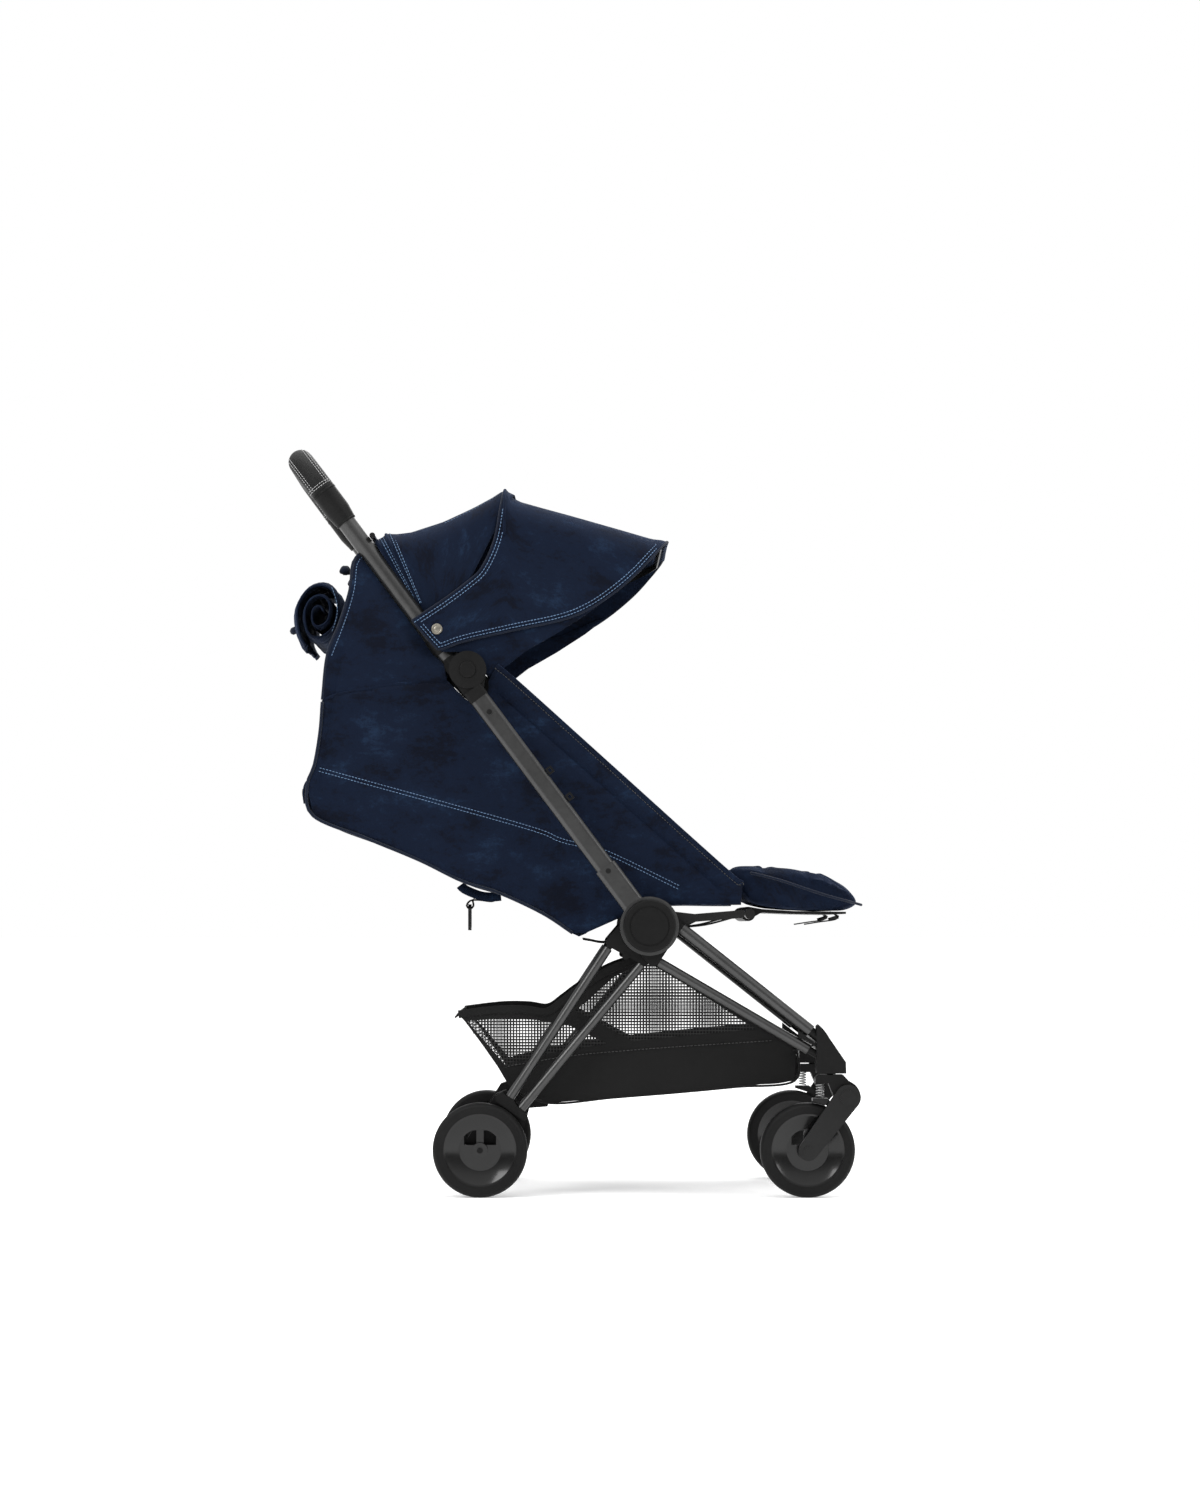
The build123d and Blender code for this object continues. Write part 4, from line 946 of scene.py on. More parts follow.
def make_canopy_front():
    """The front panel: roof, rounded corners, sides and the flaps that wrap back to the snaps, in one sheet."""
    roof, n_roof, n_side = CANOPY_Y - CANOPY_CORNER, 14, 22
    proud = 1.4
    flap_xs = [-227.0, -224.0, -219.0, -211.0, -203.0, -196.0, -187.0, -178.0, -168.0, -158.0, -148.0, -139.0,
               -131.0,
               -124.0, -118.0, -113.0, -109.0, -105.5, -103.0]
    main_xs = [-101.0, -97.0, -93.0, -89.0, -84.0, -78.0, -70.0, -61.0, -52.0, -42.0, -32.0, -22.0, -12.0,
               -2.0, 8.0, 18.0,
               28.0, 38.0, 48.0, 58.0, 67.0, 76.0, 85.0, 93.0, 100.0, 106.0, 112.0, 117.0, 121.0, 124.0, 126.0]
    points, uvs, faces, index = [], [], [], {}

    def put(key, p, q):
        index[key] = len(points)
        points.append(tuple(p))
        uvs.append((p[0] * MM, q * MM))

    columns = [(x, True) for x in flap_xs] + [(x, False) for x in main_xs]
    for c, (x, is_flap) in enumerate(columns):
        top = height_at(TOP_LINE, x)
        q_low = run_to(height_at(FLAP_FOOT, x), top, CANOPY_Y, CANOPY_CORNER)
        q_start = run_to(height_at(FLAP_EDGE, x), top, CANOPY_Y,
                         CANOPY_CORNER) if is_flap else min(roof, q_low * 0.9)
        q_start = min(q_start, q_low)
        for hand in (-1, 1):
            for k in range(n_side + 1):
                q = lerp(q_start, q_low, k / n_side)
                put((c, hand, n_roof + k), canopy_point(x, q, hand, top, proud, True), hand * q)
            if not is_flap:
                for k in range(1 if hand > 0 else 0, n_roof):
                    q = q_start * k / n_roof
                    put((c, hand, k), canopy_point(x, q, hand, top, proud, True), hand * q)
        if not is_flap:
            index[(c, 1, 0)] = index[(c, -1, 0)]
    for c in range(len(columns) - 1):
        low = n_roof if columns[c][1] else 0
        for hand in (-1, 1):
            for k in range(low, n_roof + n_side):
                loop = (index[(c, hand, k)], index[(c + 1, hand, k)], index[(c + 1, hand, k + 1)],
                        index[(c, hand, k + 1)])
                loop = tuple(dict.fromkeys(loop))
                if len(loop) > 2:
                    faces.append(loop if hand < 0 else loop[::-1])
    shade = piece("canopy_front_sheet", points, faces, "denim", uvs=uvs)
    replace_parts(thicken(shade, 1.5), "canopy_front")
    follow_front(shade)

    threads, edge_paths = [], []
    for side, hand in SIDES:
        for inset in (4.0, 8.5):
            line = beside(smooth_side(FLAP_EDGE, 4.0), -inset)
            line = [p for p in line if p[0] < -101.5]
            foot = beside(smooth_side(FLAP_FOOT, 4.0), inset)
            foot = [p for p in foot if -216.0 < p[0] < 112.0]
            for run in (line[2:] if inset > 5 else line, foot):
                spots = []
                for x, z in run:
                    top = height_at(TOP_LINE, x)
                    spots.append(canopy_point(x, min(z, top - 0.5), hand, top, proud + 1.0))
                threads.append((spots, (0, hand, 0)))
        foot = smooth_side(FLAP_FOOT, 5.0)
        edge = [(x, z) for x, z in smooth_side(FLAP_EDGE, 5.0)[::-1]] + foot
        spots = []
        for x, z in edge:
            top = height_at(TOP_LINE, x)
            spots.append(canopy_point(x, min(z, top - 0.5), hand, top, proud))
        edge_paths.append((side, hand, spots))
    follow_front(stitches("canopy_flap_thread", threads, "blue_thread", radius=0.55))
    for side, hand, spots in edge_paths:
        follow_front(sweep(f"canopy_flap_piping_{side}", spots, ring_section(1.5, 6), "binding"))
        snap_at(f"canopy_snap_{side}", (-193.0, hand * (CANOPY_Y + 2.4), 781.0), 7.7, "mid_canopy", hand=hand)

    # front hem over the roof and the raised welt on the middle bow
    hem = [canopy_point(125.0, q, -1, 907.0, proud, True) for q in [118.0 - 6.0 * k for k in range(20)]]
    hem += [canopy_point(125.0, q, 1, 907.0, proud, True) for q in [4.0 + 6.0 * k for k in range(20)]]
    follow_front(sweep("canopy_front_hem", hem, ring_section(2.6), "denim"))
    welt = [canopy_point(-100.0, q, -1, 979.0, 1.2, True) for q in [218.0 - 7.0 * k for k in range(32)]]
    welt += [canopy_point(-100.0, q, 1, 979.0, 1.2, True) for q in [7.0 * k for k in range(32)]]
    sweep("canopy_mid_welt", welt, ring_section(2.6), "denim", "mid_canopy")


REAR_LOW = 34.0


def rear_top(angle):
    """Where the ray at an angle from the canopy pivot meets the canopy's top line."""
    angle = min(max(angle, math.radians(66.5)), math.radians(116.9))
    c, s = math.cos(angle), math.sin(angle)
    best = None
    for (ax, az), (bx, bz) in zip(TOP_LINE, TOP_LINE[1:]):
        fa, fb = (ax - PIVOT.x) * s - (az - PIVOT.z) * c, (bx - PIVOT.x) * s - (bz - PIVOT.z) * c
        if fa * fb <= 0 and abs(fa - fb) > 1e-9:
            t = fa / (fa - fb)
            x, z = lerp(ax, bx, t), lerp(az, bz, t)
            best = max(best or 0.0, (x - PIVOT.x) * c + (z - PIVOT.z) * s)
    return best


def rear_point(angle, q, reach, proud=0.0):
    """A point on the rear panel: the U section in the plane at this angle through the canopy pivot."""
    hand = 1.0 if q >= 0 else -1.0
    y, r = canopy_section(abs(q), reach, CANOPY_Y - 1.8, CANOPY_CORNER)
    x, z = PIVOT.x + r * math.cos(angle), PIVOT.z + r * math.sin(angle)
    y = min(y, tube_hug(x, z, CANOPY_Y - 1.8)) if y > 135 else y
    side = ease((abs(q) - 90.0) / 60.0)
    folds = 1.8 * ripple(x, 0.0, z, 55.0, 31.0) + 0.6 * ripple(x, y, z, 22.0, 1.0)
    y += proud * side + side * min(0.6, folds)
    lift = (1.0 - side) * (folds + proud)
    return (x + lift * math.cos(angle), hand * y, z + lift * math.sin(angle))


def make_canopy_rear():
    """The rear panel between the handle and the middle bow, one sheet over sides, corners and roof."""
    first, last, steps = math.radians(121.8), math.radians(63.5), 26
    rows = []
    for i in range(steps + 1):
        angle = lerp(first, last, i / steps)
        reach = rear_top(angle)
        total = run_to(REAR_LOW, reach, CANOPY_Y - 1.8, CANOPY_CORNER)
        rows.append([rear_point(angle, total * (-1.0 + j / 30.0), reach) for j in range(61)])
    shade = sheet_grid("canopy_rear_sheet", rows, "denim")
    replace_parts(thicken(shade, 1.5), "canopy_rear")
    follow_rear(shade)

    threads = []
    for degrees_at in (118.6, 117.2, 113.6, 112.2):
        angle = math.radians(degrees_at)
        reach = rear_top(angle)
        total = run_to(62.0, reach, CANOPY_Y - 1.8, CANOPY_CORNER)
        line = [Vector(rear_point(angle, total * (-1.0 + j / 60.0), reach, 1.1)) for j in range(121)]
        threads.append((line, lambda p: Vector((0.0, math.copysign(ease((abs(p.y) - 110.0) / 55.0), p.y),
                                                1.0 - ease((abs(p.y) - 110.0) / 55.0) + 0.02))))
    follow_rear(stitches("canopy_band_thread", threads, "blue_thread"))
    roof = [(x, z) for x, z in smooth_side([(-184.0, 936.0), (-150.0, 951.0), (-112.0, 969.0)], 5.0)]
    short = []
    for side, hand in SIDES:
        line = []
        for x, z in roof:
            angle = math.atan2(z - PIVOT.z, x - PIVOT.x)
            line.append(Vector(rear_point(angle, hand * 142.0, rear_top(angle), 1.1)))
        short.append((line, (0.0, hand * 0.6, 0.8)))
    follow_rear(stitches("canopy_roof_thread", short, "blue_thread"))
    for name, degrees_at, radius in (("canopy_rear_welt", 120.6, 3.0), ("canopy_band_welt", 115.4, 2.2)):
        angle = math.radians(degrees_at)
        reach = rear_top(angle)
        total = run_to(62.0, reach, CANOPY_Y - 1.8, CANOPY_CORNER)
        path = [rear_point(angle, total * (-1.0 + j / 36.0), reach, 0.4) for j in range(73)]
        follow_rear(sweep(name, path, ring_section(radius), "denim"))

    # lower side cloth between the flap and the seat's front edge
    skirt = [(-187.0, 750.0), (-186.0, 758.0), (-156.0, 768.0), (-93.0, 783.0), (-22.5, 799.0), (30.0, 822.0),
             (44.0, 826.0),
             (12.0, 801.0), (-30.0, 774.0), (-72.0, 750.0), (-100.0, 728.0), (-124.0, 716.0), (-126.0, 731.0),
             (-135.0, 743.0),
             (-150.0, 750.0)]
    for side, hand in SIDES:
        wall = side_panel(f"canopy_skirt_{side}", skirt, lambda x,
                          z: CANOPY_Y - 2.4 + 1.2 * ripple(x, 0, z, 40.0, 6.0),
                          hand, "denim", step=7.0)
        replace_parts(thicken(wall, 1.3), "canopy_front")
        follow_front(wall)


# ---------------------------------------------------------------- rolled window cover
def make_roll():
    """The window cover rolled up and tied under the canopy's back edge."""
    stations, turns, per_turn = 41, 2.6, 30
    rows = []
    for i in range(stations):
        y = lerp(-138.0, 138.0, i / (stations - 1))
        end = 1.0 - 0.12 * ease((abs(y) - 118.0) / 22.0)
        tied = 1.0 - 0.10 * math.exp(-((abs(y) - 92.0) / 9.0) ** 2)
        row = []
        for k in range(int(turns * per_turn) + 1):
            a = 2.0 * math.pi * k / per_turn + 0.6
            share = k / (turns * per_turn)
            r = (0.16 + 0.84 * share) * end * tied
            lump = 1.0 + 0.10 * ripple(math.cos(a) * 60, y, math.sin(a) * 60, 52.0, 14.0)
            px, pz = 37.0 * r * math.cos(a) * lump, 53.0 * r * math.sin(a) * lump
            tilt = math.radians(-10.0)
            row.append((-358.0 + px * math.cos(tilt) - pz * math.sin(tilt), y,
                        806.0 + px * math.sin(tilt) + pz * math.cos(tilt)))
        rows.append(row)
    roll = sheet_grid("rolled_cover", rows, "denim", "handle")
    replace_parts(thicken(roll, 2.2), "roll_cover")
    for side, hand in SIDES:
        y = hand * 92.0
        toggle = [(-330.0, y - 7.0, 866.0), (-326.0, y - 3.0, 869.0), (-322.0, y + 3.0, 869.0),
                  (-318.0, y + 7.0, 866.0)]
        sweep(f"roll_knot_{side}", curve_through(toggle, 2.0), ring_section(5.0), "binding", "handle",
              scale=lambda t: 0.55 + 0.9 * math.sin(math.pi * t))
        knot = [(-392.0, y - 7.0, 789.0), (-396.0, y - 1.5, 785.0), (-396.0, y + 1.5, 785.0),
                (-392.0, y + 7.0, 789.0)]
        sweep(f"roll_bow_{side}", curve_through(knot, 1.5), ring_section(3.8), "binding", "handle",
              scale=lambda t: 0.6 + 0.8 * math.sin(math.pi * t))
        stitched = [(-340.0 + 8.0 * math.sin(t / 9.0 * math.pi), hand * 139.5,
                     842.0 - 7.0 * t) for t in range(10)]
        stitches(f"roll_thread_{side}", [(curve_through(stitched, 3.0), (0, hand, 0))], "blue_thread", "handle")


# ---------------------------------------------------------------- padded pieces
def inflate(obj, voxel, cap, pressure=4.0, frames=20):
    """Remesh a pad and let cloth pressure fill it, with each point's move capped, then smooth it once."""
    remesh = obj.modifiers.new("remesh", "REMESH")
    remesh.mode, remesh.voxel_size = "VOXEL", voxel * MM
    apply_modifiers(obj)
    rest = [v.co.copy() for v in obj.data.vertices]
    cloth = obj.modifiers.new("fill", "CLOTH")
    cloth.settings.use_pressure = True
    cloth.settings.uniform_pressure_force = pressure
    cloth.settings.effector_weights.gravity = 0.0
    cloth.settings.quality = 4
    cloth.point_cache.frame_start, cloth.point_cache.frame_end = 1, frames
    scene = bpy.context.scene
    for number in range(1, frames + 1):
        scene.frame_set(number)
    graph = bpy.context.evaluated_depsgraph_get()
    moved = [v.co.copy() for v in obj.evaluated_get(graph).data.vertices]
    obj.modifiers.remove(cloth)
    scene.frame_set(1)
    for vertex, start, end in zip(obj.data.vertices, rest, moved):
        step = end - start
        if step.length > cap * MM:
            step *= cap * MM / step.length
        vertex.co = start + step
    work = bmesh.new()
    work.from_mesh(obj.data)
    bmesh.ops.smooth_vert(work, verts=work.verts, factor=0.5, use_axis_x=True, use_axis_y=True, use_axis_z=True)
    bmesh.ops.smooth_vert(work, verts=work.verts, factor=0.5, use_axis_x=True, use_axis_y=True, use_axis_z=True)
    work.to_mesh(obj.data)
    work.free()
    finer = obj.modifiers.new("finer", "SUBSURF")
    finer.levels = finer.render_levels = 1
    apply_modifiers(obj)
    return obj


def apply_modifiers(obj):
    graph = bpy.context.evaluated_depsgraph_get()
    mesh = bpy.data.meshes.new_from_object(obj.evaluated_get(graph))
    look = obj.data.materials[0]
    obj.modifiers.clear()
    obj.data = mesh
    if not mesh.materials:
        mesh.materials.append(look)


def lay_weave(obj, across, down):
    """Lay the weave flat along two directions and shade the pad smooth."""
    mesh = obj.data
    for layer in list(mesh.uv_layers):
        mesh.uv_layers.remove(layer)
    layer = mesh.uv_layers.new(name="cloth")
    across, down = Vector(across), Vector(down)
    normal_dir = across.cross(down)
    for loop in mesh.loops:
        p = mesh.vertices[loop.vertex_index].co
        layer.data[loop.index].uv = (p.dot(across) + 0.5 * p.dot(normal_dir),
                                     p.dot(down) + 0.3 * p.dot(normal_dir))
    mesh.shade_smooth()


def press_lines(obj, depth, width, distance_at, facing=None):
    """Sewn channels: points near a seam sink along their normals."""
    mesh = obj.data
    normals = [v.normal.copy() for v in mesh.vertices]
    for vertex, normal in zip(mesh.vertices, normals):
        if facing is not None and normal.dot(facing) < 0.25:
            continue
        near = distance_at(vertex.co / MM)
        vertex.co -= normal * (depth * MM * math.exp(-(near / width) ** 2))
        vertex.co += normal * (0.22 * depth * MM * math.exp(-((near - 2.2 * width) / (1.2 * width)) ** 2))
    mesh.update()


def extruded_pad(name, profile, half_at, look, levels=9):
    """A closed pad from its side outline, its half width given at each point of the outline."""
    points, faces = [], []
    count = len(profile)
    for k in range(levels):
        share = -1.0 + 2.0 * k / (levels - 1)
        for x, z in profile:
            points.append((x, share * half_at(x, z), z))
    for k in range(levels - 1):
        for i in range(count):
            m = (i + 1) % count
            faces.append((k * count + i, k * count + m, (k + 1) * count + m, (k + 1) * count + i))
    faces += [tuple(range(count))[::-1], tuple((levels - 1) * count + i for i in range(count))]
    return faces_outward(piece(name, points, faces, look))


def make_seat_pad():
    profile = [(38.0, 409.0), (120.0, 408.5), (218.0, 408.5), (222.0, 422.0), (219.0, 438.0), (203.0, 449.0),
               (176.0, 446.0),
               (150.0, 441.0), (100.0, 434.0), (62.0, 427.5), (42.0, 420.0)]
    pad = extruded_pad("seat_pad", profile, lambda x, z: 122.0 - 10.0 * ease((x - 190.0) / 40.0), "denim")
    inflate(pad, 6.0, 6.0)
    press_lines(pad, 5.0, 4.0, lambda p: min(abs(abs(p.y) - 82.0), 60.0), Vector((0, 0, 1)))
    press_lines(pad, 3.5, 4.0, lambda p: min(abs(p.x - 96.0), abs(p.x - 168.0)) if abs(p.y) < 80 else 60.0,
                Vector((0, 0, 1)))
    lay_weave(pad, (1, 0, 0), (0, 1, 0))
    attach(pad, "seat_base")
    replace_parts(pad, "seat_cushion")


BOARD_ANGLE = math.radians(150.5)
BOARD_DIR = Vector((math.cos(BOARD_ANGLE), 0.0, math.sin(BOARD_ANGLE)))
BOARD_UP = Vector((math.sin(BOARD_ANGLE), 0.0, -math.cos(BOARD_ANGLE)))
RECLINE = Vector((15.0, 0.0, 392.0))


def on_board(run, y, up):
    return RECLINE + BOARD_DIR * run + BOARD_UP * up + Vector((0.0, y, 0.0))


def make_back_pad():
    points, faces = [], []
    outline = []
    for k in range(60):
        a = 2.0 * math.pi * k / 60
        c, s = math.cos(a), math.sin(a)
        p = 0.28
        outline.append((198.0 + 168.0 * math.copysign(abs(c) ** p, c), 121.0 * math.copysign(abs(s) ** p, s)))
    for run, y in outline:
        points.append(tuple(on_board(run, y, 9.5)))
    for run, y in outline:
        points.append(tuple(on_board(run, y, 26.0)))
    count = len(outline)
    for i in range(count):
        m = (i + 1) % count
        faces.append((i, m, count + m, count + i))
    faces += [tuple(range(count))[::-1], tuple(count + i for i in range(count))]
    pad = faces_outward(piece("back_pad", points, faces, "denim"))
    inflate(pad, 6.0, 6.0)

    def channel(p):
        rel = p - RECLINE
        run = rel.dot(BOARD_DIR)
        near = abs(abs(p.y) - 78.0)
        if abs(p.y) < 78.0:
            near = min(near, abs(run - 110.0), abs(run - 200.0), abs(run - 290.0))
        return near

    press_lines(pad, 5.0, 4.0, channel, BOARD_UP)
    lay_weave(pad, BOARD_DIR, (0, 1, 0))
    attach(pad, "backrest")
    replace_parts(pad, "back_cushion")


LEGREST_SEAM = [(240.0, 446.0), (281.0, 435.7), (342.0, 415.5), (396.0, 401.5)]


def legrest_half(x):
    return 141.0 - 30.0 * ease((x - 345.0) / 58.0) ** 2


def make_legrest():
    profile = [(205.0, 452.0), (240.0, 451.0), (285.0, 448.0), (320.0, 443.5), (345.0, 438.0), (370.0, 426.0),
               (390.0, 413.0),
               (397.0, 405.0), (394.0, 400.0), (376.0, 398.0), (340.0, 398.5), (300.0, 400.0), (268.0, 403.0),
               (254.0, 406.0), (232.0, 412.0), (226.0, 425.0), (206.0, 446.0)]
    pad = extruded_pad("legrest_padding", profile, lambda x,
                       z: legrest_half(x) - 6.0 * ease((240.0 - x) / 30.0), "denim")
    inflate(pad, 6.0, 5.0)
    mesh = pad.data
    for vertex in mesh.vertices:
        p = vertex.co / MM
        side = ease((abs(p.y) - legrest_half(p.x) + 14.0) / 14.0)
        near = abs(p.z - height_at(LEGREST_SEAM, p.x))
        sink = 2.6 * side * math.exp(-(near / 3.0) ** 2)
        vertex.co.y -= math.copysign(sink * MM, p.y)
        folds = 1.2 * ripple(p.x, p.y, p.z, 30.0, 17.0)
        vertex.co.z += folds * MM * (1.0 - side) * (1.0 if p.z > 410 else 0.3)
    mesh.update()
    press_lines(pad, 4.0, 4.0, lambda p: min(abs(p.x - 262.0), abs(p.x - 330.0)) if abs(p.y) < 112 else
                abs(abs(p.y) - 112.0), Vector((0, 0, 1)))
    lay_weave(pad, (1, 0, 0), (0, 1, 0))
    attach(pad, "legrest")
    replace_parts(pad, "legrest_pad")
    for side, hand in SIDES:
        rim = [(x, hand * (legrest_half(x) + 2.0), z) for x, z in smooth_side(LEGREST_SEAM, 6.0)]
        sweep(f"legrest_piping_{side}", rim, ring_section(1.8), "binding", "legrest")
        top = [(x, hand * 118.0, 452.5 - 0.16 * (x - 240.0)) for x in (238.0, 260.0, 280.0, 294.0)]
        stitches(f"legrest_thread_{side}", [(top, (0, 0, 1))], "blue_thread", "legrest")
        strap = [(352.0, hand * 112.0, 392.0), (362.0, hand * 114.0, 386.0), (358.0, hand * 116.0, 381.0),
                 (338.0, hand * 118.0, 378.0), (316.0, hand * 118.0, 374.5)]
        sweep(f"legrest_strap_{side}", curve_through(strap, 4.0), strap_section(9.0, 1.6), "webbing", "legrest",
              up=(0, 0, 1))
        slider = [(350.0, hand * 116.0, 381.0), (361.0, hand * 116.0, 384.5)]
        sweep(f"legrest_slider_{side}", slider, strap_section(13.0, 4.0), "plastic", "legrest", up=(0, 0, 1))


# ---------------------------------------------------------------- harness
def make_harness():
    for side, hand in SIDES:
        run = [on_board(310.0, hand * 40.0, 27.0), on_board(300.0, hand * 40.0, 37.0),
               on_board(250.0, hand * 41.0, 39.0),
               on_board(180.0, hand * 46.0, 39.0), on_board(110.0, hand * 54.0, 38.5),
               on_board(60.0, hand * 62.0, 37.0),
               on_board(34.0, hand * 66.0, 30.0)]
        sweep(f"shoulder_strap_{side}", curve_through(run, 7.0), strap_section(25.0, 1.8), "webbing",
              "backrest",
              up=BOARD_UP)
        pad_run = [on_board(lerp(292.0, 150.0, t / 10.0), hand * lerp(40.2, 49.5, t / 10.0),
                            42.0) for t in range(11)]
        pad = sweep(f"shoulder_pad_{side}", pad_run,
                    [(-22, 0), (-21, 3.2), (-14, 5.6), (0, 6.4), (14, 5.6), (21, 3.2),
                    (22, 0), (21, -2.4), (0, -3.0), (-21, -2.4)], "denim", "backrest", up=BOARD_UP,
                    scale=lambda t: 0.72 + 0.28 * math.sin(math.pi * min(1.0, max(0.0, t))) ** 0.35)
        rows = [([p + Vector((0.0, off, 0.0)) + BOARD_UP * 5.6 for p in pad_run[1:-1]],
                 BOARD_UP) for off in (-14.5, 14.5)]
        stitches(f"shoulder_thread_{side}", rows, "blue_thread", "backrest")
        waist = [(62.0, hand * 116.0, 436.0), (84.0, hand * 100.0, 447.0), (108.0, hand * 66.0, 450.5),
                 (122.0, hand * 34.0, 451.5), (127.0, hand * 20.0, 452.5)]
        sweep(f"waist_strap_{side}", curve_through(waist, 6.0), strap_section(24.0, 1.8), "webbing",
              "seat_base",
              up=(0, 0, 1))
        tongue = [(124.0, hand * 34.0, 454.0), (126.5, hand * 27.0, 454.5), (127.5, hand * 18.0, 454.5)]
        sweep(f"buckle_tongue_{side}", tongue, strap_section(30.0, 7.0), "plastic", "seat_base", up=(0, 0, 1))
    crotch = [(206.0, 0.0, 447.0), (190.0, 0.0, 453.5), (170.0, 0.0, 453.0), (152.0, 0.0, 452.5),
              (140.0, 0.0, 452.5)]
    sweep("crotch_strap", curve_through(crotch, 5.0), strap_section(26.0, 1.8), "webbing", "seat_base",
          up=(0, 0, 1))
    crotch_pad = [(lerp(198.0, 158.0, t / 6.0), 0.0, 454.5 + 1.0 * math.sin(t)) for t in range(7)]
    pad = sweep("crotch_pad", crotch_pad,
                [(-19, 0), (-18, 2.4), (-10, 4.4), (0, 4.8), (10, 4.4), (18, 2.4), (19, 0),
                (18, -1.6), (-18, -1.6)], "denim", "seat_base", up=(0, 0, 1))
    button = [(9.5, 0.0), (9.5, 1.2), (8.6, 2.0), (6.0, 2.2), (5.6, 1.6), (0.6, 1.5)]
    lathe("buckle_button", (128.0, 0.0, 461.2), button, "plastic", "seat_base", axis="Z", hand=1)


# ---------------------------------------------------------------- basket
BASKET_HALF = 148.6
BASKET_TOP = [(-164.0, 250.0), (-130.0, 254.5), (-101.0, 257.0), (-70.0, 256.5), (-42.0, 253.5), (-20.0, 268.0),
              (0.0, 283.0), (40.0, 309.0), (72.0, 322.0), (98.0, 330.0)]
BASKET_FRONT = [(98.0, 330.0), (141.0, 304.0), (200.0, 268.5), (258.0, 234.0), (304.0, 206.0)]
BASKET_BOTTOM = [(304.0, 206.0), (301.0, 158.0), (220.0, 149.5), (141.0, 142.0), (50.0, 134.5), (-39.0, 127.0),
                 (-93.0, 149.0)]
BASKET_BACK = [(-93.0, 149.0), (-110.0, 178.0), (-134.0, 212.0), (-155.0, 240.0), (-164.0, 250.0)]
NET_REAR = [(-152.0, 240.5), (-120.0, 243.0), (-90.0, 243.5), (-61.0, 242.5), (-36.0, 239.5), (-9.7, 234.0),
            (42.0, 209.5), (-42.5, 195.5), (-99.5, 180.0)]
NET_FRONT = [(-3.0, 255.0), (14.0, 268.0), (50.0, 301.0), (84.0, 319.0), (99.0, 322.0), (141.0, 297.0),
             (200.0, 261.0),
             (248.0, 229.5), (150.0, 220.5), (76.7, 212.8), (31.8, 237.0)]
PANEL_SEAM = [(-97.0, 178.0), (-6.0, 193.0), (70.0, 200.0), (144.0, 205.5), (275.0, 214.0)]


def basket_half(x, z):
    bulge = ease((z - 130.0) / 60.0) * ease((x + 170.0) / 60.0) * ease((312.0 - x) / 60.0)
    soft = 1.8 * ripple(x, 0.0, z, 60.0, 13.0) + 0.6 * ripple(x, 0.0, z, 22.0, 3.0)
    folds = 2.4 * (1.0 - ease((x + 165.0) / 70.0)) * math.sin((x * 0.55 + z) / 7.5)
    return BASKET_HALF - 2.0 + bulge * min(1.6, soft) - 0.5 * abs(folds) - (1.0 - ease((z - 127.0) / 22.0)) * 5.0


